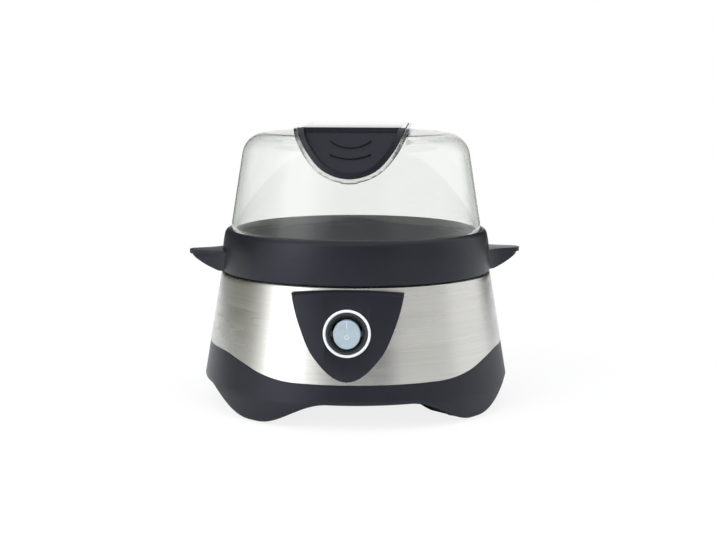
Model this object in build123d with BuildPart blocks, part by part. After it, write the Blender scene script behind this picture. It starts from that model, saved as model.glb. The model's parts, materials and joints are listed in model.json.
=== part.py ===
from build123d import *
from math import asin, cos, degrees, pi, radians, sin, sqrt
import os

os.makedirs("parts", exist_ok=True)

# Driving dimensions, in millimetres and degrees. Front is -Y, the table is Z = 0.

# Clearances and cuts shared by several pieces
fit_gap = 0.1
fine_gap = 0.05
radius_match = 0.01
cut_start = 60.0
cut_depth = 40.0

# Body cone, shared by the steel shell and the skirt
cone_low_radius = 92.9
cone_low_z = 14.4
cone_slope = 0.168
shell_low_z = 20.0
shell_top_z = 79.5
shell_mouth_radius = 75.5
sheet = 0.7
shell_edge_rounding = 0.6

# Skirt and feet, turned against the control panel
stance_turn = 8.0
seam_low_z = 26.0
seam_high_z = 37.0
seam_layer = 0.9
seam_rise = [(62.0, 29.4), (72.0, 33.5)]
seam_side = 84.0
seam_middle = 40.5
block_top_z = 120.0
block_reach = 110.0
rabbet_rise = 10.0
rabbet_outset = 1.0
skirt_wall = 3.4
skirt_lip_z = 42.0
floor_top_z = 17.0
floor_inner_radius = 67.5
ledge_top_z = 19.6
ledge_inner_radius = 54.0
lobe_clear_z = 0.8
lobe_half_angle = 30.0
lobe_flat_angle = 2.0
lobe_wall = 2.4
lobe_inner_radius = 67.0
lobe_sole_radius = 89.6
lobe_rounding = 2.4
lobe_foot_lean = (1, 0.4)
lobe_knee_lean = (0.05, 1)
lobe_root_depth = 1.0
lobe_hollow_rise = 0.6
lobe_turn = stance_turn + 45.0
pad_circle_radius = 77.0
pad_radius = 5.5
pad_height = 2.2
pad_chamfer = 0.5
post_x = 70.0
post_radius = 4.0
post_top_z = 47.0
post_bore_radius = 1.3
post_bore_depth = 14.0

# Cord gland at the back
gland_z = 20.0
gland_seat_y = 89.8
gland_inner_y = 79.2
gland_flange_radius = 5.2
gland_flange = 2.6
gland_barrel_radius = 4.3
gland_collar_radius = 4.8
gland_collar_y = 84.6
gland_collar = 2.4
gland_bore_radius = 3.25
gland_bore_depth = 20.0
gland_bore_start = 1.0
gland_rounding = 0.8
gland_seat_reach = 10.0
gland_barrel_margin = 2.0
gland_collar_play = 0.6
gland_collar_gap = 0.2

# Bottom cover
cover_radius = 63.6
cover_thickness = 2.4
cover_screw_circle = 59.0
cover_boss_radius = 3.5
cover_boss = 8.0
cover_bore_radius = 1.2
cover_bore_run = 0.6
cover_top_z = 16.9
cover_gap = 0.3
cover_screw_turn = 45.0
cover_ring_outer_radius = 49.0
cover_ring_inner_radius = 46.0
cover_ring_height = 1.0
slot_circle_radius = 34.0
slot_count = 12
slot_length = 12.0
slot_width = 3.0
cover_hole_radius = 1.7
cover_sink_radius = 3.1
cover_screw_radius = 1.15
cover_screw_length = 10.0
cover_head_radius = 2.9
cover_head_height = 1.7
drive_length = 3.6
drive_width = 0.7
drive_depth = 0.8

# Control panel and its tilted face
face_z = 55.0
face_proud = 3.0
face_tilt = 7.0
face_curve_radius = 130.0
panel_half_width = 31.6
panel_tip_z = 28.1
panel_corner_z = 76.6
panel_crown_z = 78.6
panel_ledge = 2.5
panel_side = [(26.4, 57.0), (18.8, 41.4)]
panel_block = 50.0
panel_reach = 70.0
panel_back_low_z = 10.0
panel_back_high_z = 90.0
panel_pins = [(-22.0, 69.0), (22.0, 69.0), (-16.0, 48.0), (16.0, 48.0)]
pin_radius = 1.5
pin_gap = 0.2
pin_end_y = 75.0
clip_radius = 4.2
clip_sheet = 0.5
clip_stand_off = 1.6

# Round rocker switch for a 20 mm hole
seat_depth = 0.6
seat_cut = 10.0
barrel_gap = 0.15
barrel_cut = 30.0
shell_hole_start = 8.0
trim_outer_radius = 13.4
trim_proud = 0.9
trim_rounding = 0.7
bezel_radius = 11.5
bezel_proud = 1.3
bezel_edge = 0.3
bezel_flat = 0.4
well_edge = 0.3
well_edge_depth = 0.8
barrel_radius = 9.9
well_radius = 8.9
button_radius = 8.1
button_half_width = 7.7
pivot_depth = 2.4
rocker_barrel_radius = 9.6
rocker_skirt_depth = 4.5
rocker_hollow_depth = 0.9
rocker_hollow_radius = 6.2
rocker_half_tilt = 8.0
plunger_radius = 1.2
plunger_reach = 7.1
blade_half_tilt = 6.0
blade_sheet = 0.6
trunnion_radius = 1.15
trunnion_root = 7.0
trunnion_end = 9.4
trunnion_gap = 0.07
well_floor = 13.5
housing_back = -15.5
tab_heights = (-5.6, 0.0, 5.6)
tab_width = 6.3
tab_sheet = 0.8
tab_slot_start = 1.0
tab_slot_depth = 4.0
tab_middle_start = -11.9
tab_outer_start = -12.4
tab_end = -27.0
tab_hole_back = 24.0
tab_hole_radius = 0.8
tab_hole_reach = 20.0
button_edge = 5.1
button_dip = 3.7
button_margin = 0.5
rocker_cut = 10.0
rocker_cut_top = 12.0
rocker_skirt_cut = 6.0
mark_depth = 0.12
on_mark_width = 0.6
on_mark_height = 3.8
on_mark_up = 5.6
off_mark_radius = 1.3
off_mark_inner_radius = 0.8
off_mark_up = -1.4
mark_reach = 9.0
lamp_half_length = 3.4
lamp_centre = (3.1, -2.5)
lamp_radius = 1.5
blade_seat = -11.6
blade_width = 4.5
blade_length = 13.0
blade_rounding = 1.5

# Water pan and heater
pan_flange_z = 80.1
pan_sheet = 1.0
pan_flange_radius = 79.3
pan_mouth_radius = 70.0
pan_floor_radius = 65.0
pan_floor_z = 64.0
pan_floor_fillet = 3.0
gasket_inner_radius = 75.6
heater_plate_thickness = 3.0
heater_plate_radius = 47.0
element_circle_radius = 38.0
element_radius = 3.3
element_z = 59.2
element_gap = 17.0
element_end_rise = 4.0
element_pin = 2.6
element_pin_radius = 1.2
stud_x = 24.0
stud_radius = 2.0
stud_gap = 0.2
stud_run = 4.6
strap_z = 47.0
strap_sheet = 1.2
strap_width = 14.0
strap_margin = 12.0
strap_hole_radius = 1.7
strap_screw_radius = 1.25
strap_screw_length = 13.0
strap_head_radius = 3.0
strap_head_height = 2.0
shield_sheet = 0.6
shield_flat_radius = 30.0
shield_radius = 58.0
shield_drop = 6.0
shield_hole_cut = 3.0
nut_height = 3.2
flange_sheet = 0.8
flange_length = 32.0
flange_width = 11.0
flange_hole_radius = 1.4
flange_screw_x = 12.0
flange_screw_radius = 1.2
flange_screw_length = 3.0
flange_head_radius = 2.5
flange_head_height = 1.6
flange_bore_radius = 1.25
flange_bore_depth = 2.4
thermostat_radius = 8.0
thermostat_height = 8.2
thermostat_neck = 2.0
thermostat_neck_gap = 1.9
thermostat_tab_y = 10.0
thermostat_tab_length = 12.0
fuse_y = 22.0
fuse_radius = 2.2
fuse_half_length = 9.0
fuse_lead_half_length = 16.0
fuse_lead_radius = 0.5
fuse_clip_half_width = 3.0
fuse_clip_sheet = 0.6
fuse_clip_foot = 7.0
fuse_clip_foot_y = 5.0
fuse_clip_cut = 2.0
block_y = 60.5
block_length = 22.0
block_width = 12.0
block_height = 13.0
block_rounding = 1.0
block_bore_x = 6.0
block_bore_radius = 2.2
block_bore_depth = 8.0
block_screw_radius = 2.0
block_screw_height = 5.0
block_slot_length = 3.2
block_slot_depth = 1.0
wire_radius = 1.1

# Tray ring, ears and rack
tray_seat_z = 81.1
ring_bottom_z = 80.3
ring_bottom_radius = 82.0
ring_foot_radius = 79.9
ring_waist_radius = 81.0
ring_waist_z = 97.0
ring_crest_radius = 77.6
ring_crest_z = 105.2
ring_crest_middle = (80.15, 102.4)
ring_crest_drop = 1.0
lid_seat_z = 99.7
lid_pocket_radius = 76.3
ring_inner_radius = 72.4
ring_channel_radius = 74.8
ring_channel_z = 97.0
ring_channel_outer_radius = 78.7
rack_ledge_radius = 70.2
rack_ledge_depth = 2.0
rack_ledge_root = 3.8
ear_tip_radius = 101.4
ear_top_z = 92.4
ear_tip_thickness = 2.4
ear_root_x = 79.7
ear_root_half_width = 17.0
ear_waist_half_width = 12.0
ear_tip_half_width = 6.0
ear_waist_x = 84.5
ear_tip_corner = 3.4
ear_root_lean = (0.5, -1)
ear_tip_lean = (1, -0.35)
web_inset = 1.6
web_belly = [(95.4, 85.8), (89.0, 82.2)]
web_foot_x = 84.0
web_root_x = 70.0
web_lap = 1.0
web_tip_lean = (-0.6, -1)
web_foot_lean = (-1, -0.3)
rack_top_z = 89.0
rack_thickness = 2.0
rack_rim_radius = 68.2
rack_rim_wall = 1.8
rack_rim_depth = 8.5
cup_circle_radius = 48.0
cup_top_radius = 18.5
cup_low_radius = 14.5
cup_low_z = 81.5
cup_wall = 1.8
cup_lip = 0.8
cup_turn = 30.0
cup_step = 60.0
deck_gap = 0.3
inner_hole_circle = 27.7
inner_hole_radius = 2.5
outer_hole_circle = 60.5
outer_hole_radius = 4.0
hole_count = 6

# Lid
lid_radius = 75.9
lid_straight_top_z = 107.6
lid_slope = 0.16
lid_shoulder_z = 162.7
lid_crown_z = 166.2
lid_crown_radius = 480.0
lid_shoulder_fillet = 15.0
lid_wall = 2.3
recess_half_width = 31.5
recess_tip_z = 139.4
recess_top_z = 167.7
recess_shoulder_z = 169.2
recess_block_z = 194.4
recess_knee = (24.4, 153.8)
recess_toe = (15.1, 143.9)
recess_knee_grow = (0.87, -0.5)
recess_toe_grow = (0.66, -0.75)
recess_lean = 0.28
recess_reach = 90.0
raised_fillet = 12.0
raised_low_z = 124.4
rim_wall = 2.4
rim_depth = 8.0
rim_top_z = 167.1
lid_cut_run = 1.0
grip_proud = 0.4
grip_face_top_y = 50.0
grip_face_slope = 0.62
grip_wall = 2.4
pocket_back_inset = 3.9
pocket_front_inset = 2.7
pocket_front_y = 80.0
handle_plate = 2.6
handle_overhang = 2.0
handle_half_width = 28.5
handle_corner = 2.0
hollow_half_width = 26.0
hollow_low_z = 105.1
vent_radius = 1.5
vent_x = 48.0
vent_drop = 3.5
vent_cut = 12.0
ridge_half_width = 11.4
ridge_height = 1.3
ridge_proud = 0.8
ridge_root = 0.5
ridge_arcs = [(159.7, 156.0), (152.2, 149.9)]


def cone_radius(z):
    """Radius of the body's outer cone at height z."""
    return cone_low_radius - cone_slope * (z - cone_low_z)


def lid_cone_radius(z):
    """Radius of the lid's outer wall at height z, above its straight collar."""
    return lid_radius - lid_slope * (z - lid_straight_top_z)


# Planes: the stance plane stands upright across the feet, the face plane lies on the panel's face
stance_x = (cos(radians(stance_turn)), sin(radians(stance_turn)), 0)
stance_plane = Plane(origin=(0, 0, 0), x_dir=stance_x, z_dir=(stance_x[1], -stance_x[0], 0))

face_y = -(cone_radius(face_z) + face_proud)
face_out = Vector(0, -cos(radians(face_tilt)), sin(radians(face_tilt)))
face_up = Vector(0, sin(radians(face_tilt)), cos(radians(face_tilt)))
face_point = Vector(0, face_y, face_z)


def face_plane(out):
    """Plane square to the switch axis, at a distance out from the panel's face."""
    return Plane(origin=face_point + face_out * out, x_dir=(1, 0, 0), z_dir=face_out)


# Steel shell and skirt meet along a seam that is low in front and high at the sides
def above_seam():
    """Everything above the seam, as a tall block."""
    fall = [(-x, z) for x, z in reversed(seam_rise)]
    with BuildPart() as block:
        with BuildSketch(stance_plane):
            with BuildLine():
                Line((-seam_middle, seam_low_z), (seam_middle, seam_low_z))
                Spline((seam_middle, seam_low_z), *seam_rise, (seam_side, seam_high_z), tangents=((1, 0), (1, 0)))
                Polyline((seam_side, seam_high_z), (block_reach, seam_high_z), (block_reach, block_top_z),
                         (-block_reach, block_top_z), (-block_reach, seam_high_z), (-seam_side, seam_high_z))
                Spline((-seam_side, seam_high_z), *fall, (-seam_middle, seam_low_z), tangents=((1, 0), (1, 0)))
            make_face()
        extrude(amount=block_reach, both=True)
    return block.part


seam_block = above_seam()

with BuildPart() as steel_shell:
    with BuildSketch(Plane.XZ):
        with BuildLine():
            Polyline(
                (cone_radius(shell_low_z), shell_low_z),
                (cone_radius(shell_top_z), shell_top_z),
                (shell_mouth_radius, shell_top_z),
                (shell_mouth_radius, shell_top_z - sheet),
                (cone_radius(shell_top_z) - sheet, shell_top_z - sheet),
                (cone_radius(shell_low_z) - sheet, shell_low_z),
                close=True,
            )
        make_face()
    revolve(axis=Axis.Z)
    add(seam_block, mode=Mode.INTERSECT)
    # Hole for the switch and holes for the panel's pins
    with BuildSketch(face_plane(shell_hole_start)):
        Circle(bezel_radius)
    extrude(amount=-barrel_cut, mode=Mode.SUBTRACT)
    with BuildSketch(Plane.XZ.offset(cut_start)):
        with Locations(*panel_pins):
            Circle(pin_radius + pin_gap)
    extrude(amount=cut_depth, mode=Mode.SUBTRACT)
    top_edge = steel_shell.edges().filter_by(GeomType.CIRCLE).filter_by(
        lambda edge: abs(edge.radius - cone_radius(shell_top_z)) < radius_match
    )
    fillet(top_edge, radius=shell_edge_rounding)


def foot_lobe(wall):
    """One foot lobe on the front radius, or its hollow when wall is above zero."""
    low_z = lobe_clear_z + wall
    high_z = floor_top_z + lobe_hollow_rise if wall > 0 else floor_top_z - lobe_root_depth
    half_width = cone_low_radius * sin(radians(lobe_half_angle)) - wall
    steps = 4

    def lower_edge(n):
        across = half_width * n / steps
        angle = abs(degrees(asin(across / cone_low_radius)))
        half_angle = degrees(asin(half_width / cone_low_radius))
        share = max(0.0, angle - lobe_flat_angle) / (half_angle - lobe_flat_angle)
        rise = (1 - cos(pi * share)) / 2
        return (across, low_z + (cone_low_z - lobe_clear_z) * rise)

    edge_points = [lower_edge(n) for n in range(-steps, steps + 1)]
    with BuildPart() as lobe:
        with BuildSketch(Plane.XZ.offset(cut_start)):
            with BuildLine():
                Spline(*edge_points, tangents=((1, 0), (1, 0)))
                Polyline(edge_points[-1], (half_width, high_z), (-half_width, high_z), edge_points[0])
            make_face()
        extrude(amount=cut_depth)
        with BuildSketch(Plane.XZ):
            with BuildLine():
                inner = lobe_inner_radius + wall
                shoulder = cone_radius(high_z) - wall
                knee = cone_low_radius - wall
                sole = lobe_sole_radius - wall
                Polyline((knee, cone_low_z), (shoulder, high_z), (inner, high_z), (inner, 0), (sole, 0))
                side = (sole + lobe_rounding, lobe_rounding)
                Spline((sole, 0), side, (knee, cone_low_z), tangents=(lobe_foot_lean, lobe_knee_lean))
            make_face()
        revolve(axis=Axis.Z, mode=Mode.INTERSECT)
    return lobe.part


lobe_solid = foot_lobe(0.0)
lobe_hollow = foot_lobe(lobe_wall)

rabbet_top_z = skirt_lip_z + rabbet_rise

with BuildPart() as rabbet:
    with BuildSketch(Plane.XZ):
        with BuildLine():
            Polyline(
                (cone_radius(shell_low_z) + rabbet_outset, shell_low_z),
                (cone_radius(rabbet_top_z) + rabbet_outset, rabbet_top_z),
                (cone_radius(rabbet_top_z) - seam_layer, rabbet_top_z),
                (cone_radius(shell_low_z) - seam_layer, shell_low_z),
                close=True,
            )
        make_face()
    revolve(axis=Axis.Z)
    add(seam_block, mode=Mode.INTERSECT)

with BuildPart() as base_skirt:
    with BuildSketch(Plane.XZ):
        with BuildLine():
            Polyline(
                (cone_radius(cone_low_z), cone_low_z),
                (cone_radius(skirt_lip_z), skirt_lip_z),
                (cone_radius(skirt_lip_z) - skirt_wall, skirt_lip_z),
                (cone_radius(floor_top_z) - skirt_wall, floor_top_z),
                (floor_inner_radius, floor_top_z),
                (floor_inner_radius, ledge_top_z),
                (ledge_inner_radius, ledge_top_z),
                (ledge_inner_radius, floor_top_z),
                (cover_radius + cover_gap, floor_top_z),
                (cover_radius + cover_gap, cone_low_z),
                close=True,
            )
        make_face()
    revolve(axis=Axis.Z)
    # Foot lobes and their hollows
    with PolarLocations(0, 4, start_angle=lobe_turn):
        add(lobe_solid)
    with PolarLocations(0, 4, start_angle=lobe_turn):
        add(lobe_hollow, mode=Mode.SUBTRACT)
    # Pockets under the lobes for the rubber pads
    with BuildSketch(Plane.XY):
        with PolarLocations(pad_circle_radius, 4, start_angle=lobe_turn):
            Circle(pad_radius + fit_gap)
    extrude(amount=pad_height, mode=Mode.SUBTRACT)
    # Rabbet that takes the steel shell above the seam
    add(rabbet.part, mode=Mode.SUBTRACT)
    # Posts that carry the heater strap
    with Locations((post_x, 0, floor_top_z), (-post_x, 0, floor_top_z)):
        Cylinder(post_radius, post_top_z - floor_top_z, align=(Align.CENTER, Align.CENTER, Align.MIN))
    with Locations((post_x, 0, post_top_z), (-post_x, 0, post_top_z)):
        Cylinder(post_bore_radius, post_bore_depth, align=(Align.CENTER, Align.CENTER, Align.MAX),
                 mode=Mode.SUBTRACT)
    # Bosses that take the cover screws
    with PolarLocations(cover_screw_circle, 4, start_angle=cover_screw_turn):
        with Locations((0, 0, ledge_top_z)):
            Cylinder(cover_boss_radius, cover_boss, align=(Align.CENTER, Align.CENTER, Align.MIN))
    with PolarLocations(cover_screw_circle, 4, start_angle=cover_screw_turn):
        with Locations((0, 0, floor_top_z)):
            Cylinder(cover_bore_radius, cover_boss + cover_bore_run, align=(Align.CENTER, Align.CENTER, Align.MIN),
                     mode=Mode.SUBTRACT)
    # Flat seat and hole for the cord gland at the back
    with BuildSketch(Plane.XZ.offset(-gland_seat_y)):
        with Locations((0, gland_z)):
            Circle(gland_flange_radius + fit_gap)
    extrude(amount=-gland_seat_reach, mode=Mode.SUBTRACT)
    groove_y = gland_inner_y - gland_barrel_margin
    barrel_hole = (gland_seat_y + gland_barrel_margin, gland_barrel_radius + fit_gap)
    collar_hole = (gland_collar_y + gland_collar + gland_collar_play, gland_collar_radius + gland_collar_gap)
    for end_y, radius in (barrel_hole, collar_hole):
        with BuildSketch(Plane.XZ.offset(-groove_y)):
            with Locations((0, gland_z)):
                Circle(radius)
        extrude(amount=groove_y - end_y, mode=Mode.SUBTRACT)

with BuildPart() as cord_gland:
    with BuildSketch(Plane.XZ.offset(-gland_seat_y)):
        with Locations((0, gland_z)):
            Circle(gland_flange_radius)
    extrude(amount=-gland_flange)
    with BuildSketch(Plane.XZ.offset(-gland_inner_y)):
        with Locations((0, gland_z)):
            Circle(gland_barrel_radius)
    extrude(amount=gland_inner_y - gland_seat_y)
    with BuildSketch(Plane.XZ.offset(-gland_collar_y)):
        with Locations((0, gland_z)):
            Circle(gland_collar_radius)
    extrude(amount=-gland_collar)
    fillet(cord_gland.edges().filter_by(GeomType.CIRCLE).sort_by(Axis.Y)[-1], radius=gland_rounding)
    with BuildSketch(Plane.XZ.offset(-gland_inner_y + gland_bore_start)):
        with Locations((0, gland_z)):
            Circle(gland_bore_radius)
    extrude(amount=-gland_bore_depth, mode=Mode.SUBTRACT)

with BuildPart() as foot_pads:
    with BuildSketch(Plane.XY):
        with PolarLocations(pad_circle_radius, 4, start_angle=lobe_turn):
            Circle(pad_radius)
    extrude(amount=pad_height)
    chamfer(foot_pads.faces().filter_by(Axis.Z).group_by(Axis.Z)[0].edges(), length=pad_chamfer)

# Bottom cover with a raised ring, air slots and four countersunk screws
with BuildPart() as bottom_cover:
    with BuildSketch(Plane.XY.offset(cover_top_z - cover_thickness)):
        Circle(cover_radius)
    extrude(amount=cover_thickness)
    with BuildSketch(Plane.XY.offset(cover_top_z - cover_thickness)):
        Circle(cover_ring_outer_radius)
        Circle(cover_ring_inner_radius, mode=Mode.SUBTRACT)
    extrude(amount=-cover_ring_height)
    with BuildSketch(Plane.XY.offset(cover_top_z)):
        with PolarLocations(slot_circle_radius, slot_count):
            SlotOverall(slot_length, slot_width)
    extrude(amount=-cover_thickness, mode=Mode.SUBTRACT)
    with Locations(Plane.XY.offset(cover_top_z - cover_thickness).rotated((180, 0, 0))):
        with PolarLocations(cover_screw_circle, 4, start_angle=cover_screw_turn):
            CounterSinkHole(radius=cover_hole_radius, counter_sink_radius=cover_sink_radius, depth=cover_thickness)

with BuildPart() as cover_screws:
    with PolarLocations(cover_screw_circle, 4, start_angle=cover_screw_turn):
        with Locations((0, 0, cover_top_z - cover_thickness)):
            Cone(cover_head_radius, cover_screw_radius, cover_head_height,
                 align=(Align.CENTER, Align.CENTER, Align.MIN))
            Cylinder(cover_screw_radius, cover_screw_length, align=(Align.CENTER, Align.CENTER, Align.MIN))
    with PolarLocations(cover_screw_circle, 4, start_angle=cover_screw_turn):
        with Locations((0, 0, cover_top_z - cover_thickness)):
            Box(drive_length, drive_width, drive_depth, align=(Align.CENTER, Align.CENTER, Align.MIN),
                mode=Mode.SUBTRACT)
            Box(drive_width, drive_length, drive_depth, align=(Align.CENTER, Align.CENTER, Align.MIN),
                mode=Mode.SUBTRACT)


# Control panel: a shield outline pressed out of a curved face, with a slanted ledge on top
def shield_side(sign):
    """Points down one side of the shield, from the corner to near the tip."""
    return [(sign * x, z) for x, z in [(panel_half_width, panel_corner_z), *panel_side]]


with BuildPart() as cone_solid:
    with BuildSketch(Plane.XZ):
        with BuildLine():
            Polyline(
                (0, panel_back_low_z),
                (cone_radius(panel_back_low_z), panel_back_low_z),
                (cone_radius(panel_back_high_z), panel_back_high_z),
                (0, panel_back_high_z),
                close=True,
            )
        make_face()
    revolve(axis=Axis.Z)

with BuildPart() as control_panel:
    with BuildSketch(Plane.XZ.offset(cut_start)):
        with BuildLine():
            ThreePointArc((-panel_half_width, panel_corner_z), (0, panel_crown_z),
                          (panel_half_width, panel_corner_z))
            right_side = shield_side(1)
            left_side = shield_side(-1)
            Spline(*right_side, (0, panel_tip_z), *reversed(left_side))
        make_face()
    extrude(amount=panel_block)
    # Outer face, slightly curved across and tilted back
    with BuildSketch(Plane(origin=face_point - face_out * face_curve_radius, x_dir=(1, 0, 0), z_dir=face_up)):
        Circle(face_curve_radius)
    extrude(amount=panel_reach, both=True, mode=Mode.INTERSECT)
    # Slanted ledge along the top edge
    top_face = control_panel.faces().sort_by(Axis.Z)[-1]
    chamfer(top_face.edges().sort_by(Axis.Y)[0], length=panel_ledge)
    add(cone_solid.part, mode=Mode.SUBTRACT)
    # Round seat for the trim ring and the switch, and a hole for its barrel
    with BuildSketch(face_plane(-seat_depth)):
        Circle(trim_outer_radius + fit_gap)
    extrude(amount=seat_cut, mode=Mode.SUBTRACT)
    with BuildSketch(face_plane(seat_cut)):
        Circle(barrel_radius + barrel_gap)
    extrude(amount=-barrel_cut, mode=Mode.SUBTRACT)
    # Pins through the steel
    with BuildSketch(Plane.XZ.offset(pin_end_y)):
        with Locations(*panel_pins):
            Circle(pin_radius)
    extrude(until=Until.NEXT)


with BuildPart() as panel_clips:
    for x, z in panel_pins:
        back_y = -sqrt((cone_radius(z) - sheet) ** 2 - x ** 2) + clip_stand_off
        with BuildSketch(Plane(origin=(x, back_y, z), x_dir=(1, 0, 0), z_dir=(0, 1, 0))):
            Circle(clip_radius)
            Circle(pin_radius, mode=Mode.SUBTRACT)
        extrude(amount=clip_sheet)

# Switch: round parts are turned about the switch axis, from a section through it
switch_axis = Axis(face_point, face_out)
pivot_point = face_point - face_out * pivot_depth
section_plane = Plane(origin=face_point, x_dir=(1, 0, 0), z_dir=-face_up)

with BuildPart() as switch_ring:
    with BuildSketch(section_plane):
        with BuildLine():
            Polyline(
                (bezel_radius + fit_gap, -seat_depth),
                (trim_outer_radius, -seat_depth),
                (trim_outer_radius, trim_proud),
                (bezel_radius + fit_gap, trim_proud),
                close=True,
            )
        ring_face = make_face()
        fillet(ring_face.vertices().group_by(Axis.Y)[-1], radius=trim_rounding)
    revolve(axis=switch_axis)

with BuildPart() as switch_housing:
    with BuildSketch(section_plane):
        with BuildLine():
            Polyline(
                (0, housing_back),
                (barrel_radius, housing_back),
                (barrel_radius, -seat_depth),
                (bezel_radius, -seat_depth),
                (bezel_radius, bezel_proud - bezel_edge),
                (bezel_radius - bezel_flat, bezel_proud),
                (well_radius + well_edge, -well_edge),
                (well_radius, -well_edge_depth),
                (well_radius, -well_floor),
                (0, -well_floor),
                close=True,
            )
        make_face()
    revolve(axis=switch_axis)
    # Slots for the three tabs and bearings for the rocker's trunnions
    with BuildSketch(face_plane(-well_floor + tab_slot_start)):
        with Locations(*[(0, height) for height in tab_heights]):
            Rectangle(tab_width + fit_gap, tab_sheet + fit_gap)
    extrude(amount=-tab_slot_depth, mode=Mode.SUBTRACT)
    with BuildSketch(Plane(origin=pivot_point, x_dir=face_up, z_dir=(1, 0, 0))):
        Circle(trunnion_radius + trunnion_gap)
    extrude(amount=trunnion_end + fit_gap, both=True, mode=Mode.SUBTRACT)

with BuildPart() as switch_terminals:
    for height in tab_heights:
        inner_end = tab_middle_start if height == 0 else tab_outer_start
        with BuildSketch(face_plane(inner_end)):
            with Locations((0, height)):
                Rectangle(tab_width, tab_sheet)
        extrude(amount=tab_end - inner_end)
    with BuildSketch(Plane(origin=face_point, x_dir=(1, 0, 0), z_dir=face_up)):
        with Locations((0, tab_hole_back)):
            Circle(tab_hole_radius)
    extrude(amount=tab_hole_reach, both=True, mode=Mode.SUBTRACT)

# Rocker, stored at OFF: its top stands out
rocker_tilt = radians(face_tilt - rocker_half_tilt)
rocker_out = Vector(0, -cos(rocker_tilt), sin(rocker_tilt))
rocker_up = Vector(0, sin(rocker_tilt), cos(rocker_tilt))
rocker_side = Plane(origin=pivot_point, x_dir=rocker_up, z_dir=(1, 0, 0))
rocker_front = Plane(origin=pivot_point, x_dir=(1, 0, 0), z_dir=rocker_out)
front_half = button_radius + button_margin


def front_curve(lift):
    """The rocker's hollow front, seen from the side, lifted outwards."""
    edge = button_edge + lift
    return ThreePointArc((-front_half, edge), (0, button_dip + lift), (front_half, edge))


with BuildPart() as switch_rocker:
    with BuildSketch(rocker_side):
        Circle(rocker_barrel_radius)
    extrude(amount=button_half_width, both=True)
    with BuildSketch(rocker_front):
        Circle(button_radius)
    extrude(amount=rocker_cut, both=True, mode=Mode.INTERSECT)
    with BuildSketch(rocker_side):
        with BuildLine():
            front_curve(0)
            Polyline((front_half, button_edge), (front_half, rocker_cut_top), (-front_half, rocker_cut_top),
                     (-front_half, button_edge))
        make_face()
    extrude(amount=rocker_cut, both=True, mode=Mode.SUBTRACT)
    with BuildSketch(rocker_front.offset(-rocker_skirt_depth)):
        Circle(rocker_cut_top)
    extrude(amount=-rocker_skirt_cut, mode=Mode.SUBTRACT)
    with BuildSketch(rocker_front.offset(-rocker_hollow_depth)):
        Circle(rocker_hollow_radius)
    extrude(amount=-rocker_cut, mode=Mode.SUBTRACT)
    # Plunger that works the contact blade
    with BuildSketch(rocker_front.offset(-rocker_hollow_depth)):
        Circle(plunger_radius)
    extrude(amount=rocker_hollow_depth - plunger_reach)
    with Locations(rocker_front.offset(-plunger_reach)):
        Sphere(plunger_radius)
    # Trunnions
    for sign in (-1, 1):
        with BuildSketch(rocker_side.offset(sign * trunnion_root)):
            Circle(trunnion_radius)
        extrude(amount=sign * (trunnion_end - trunnion_root))

with BuildPart() as rocker_marks:
    with BuildSketch(rocker_front):
        with Locations((0, on_mark_up)):
            Rectangle(on_mark_width, on_mark_height)
        with Locations((0, off_mark_up)):
            Circle(off_mark_radius)
            Circle(off_mark_inner_radius, mode=Mode.SUBTRACT)
    extrude(amount=mark_reach)
    with BuildSketch(rocker_side):
        with BuildLine():
            front_curve(mark_depth)
            Line((front_half, button_edge + mark_depth), (front_half, button_edge))
            front_curve(0)
            Line((-front_half, button_edge), (-front_half, button_edge + mark_depth))
        make_face()
    extrude(amount=rocker_cut, both=True, mode=Mode.INTERSECT)

with BuildPart() as rocker_lamp:
    with BuildSketch(rocker_side):
        with Locations(lamp_centre):
            Circle(lamp_radius)
    extrude(amount=lamp_half_length, both=True)

blade_tilt = radians(face_tilt + blade_half_tilt)
blade_out = Vector(0, -cos(blade_tilt), sin(blade_tilt))
blade_point = face_point + face_out * blade_seat

with BuildPart() as switch_contact:
    with BuildSketch(Plane(origin=blade_point, x_dir=(1, 0, 0), z_dir=blade_out)):
        RectangleRounded(blade_width, blade_length, blade_rounding)
    extrude(amount=blade_sheet)

# Water pan, its gasket and the heater under it
with BuildPart() as water_pan:
    with BuildSketch(Plane.XZ):
        with BuildLine():
            Polyline(
                (0, pan_floor_z),
                (pan_floor_radius + pan_sheet, pan_floor_z),
                (pan_mouth_radius + pan_sheet, pan_flange_z),
                (pan_flange_radius, pan_flange_z),
                (pan_flange_radius, pan_flange_z + pan_sheet),
                (pan_mouth_radius, pan_flange_z + pan_sheet),
                (pan_floor_radius, pan_floor_z + pan_sheet),
                (0, pan_floor_z + pan_sheet),
                close=True,
            )
        make_face()
    revolve(axis=Axis.Z)
    inner_floor_edge = water_pan.edges().filter_by(GeomType.CIRCLE).filter_by(
        lambda edge: abs(edge.radius - pan_floor_radius) < radius_match
    )
    fillet(inner_floor_edge, radius=pan_floor_fillet)
    outer_floor_edge = water_pan.edges().filter_by(GeomType.CIRCLE).filter_by(
        lambda edge: abs(edge.radius - pan_floor_radius - pan_sheet) < radius_match
    )
    fillet(outer_floor_edge, radius=pan_floor_fillet + pan_sheet)

with BuildPart() as pan_gasket:
    with BuildSketch(Plane.XY.offset(shell_top_z)):
        Circle(pan_flange_radius - fit_gap)
        Circle(gasket_inner_radius, mode=Mode.SUBTRACT)
    extrude(amount=pan_flange_z - shell_top_z)

plate_low_z = pan_floor_z - heater_plate_thickness

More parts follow.
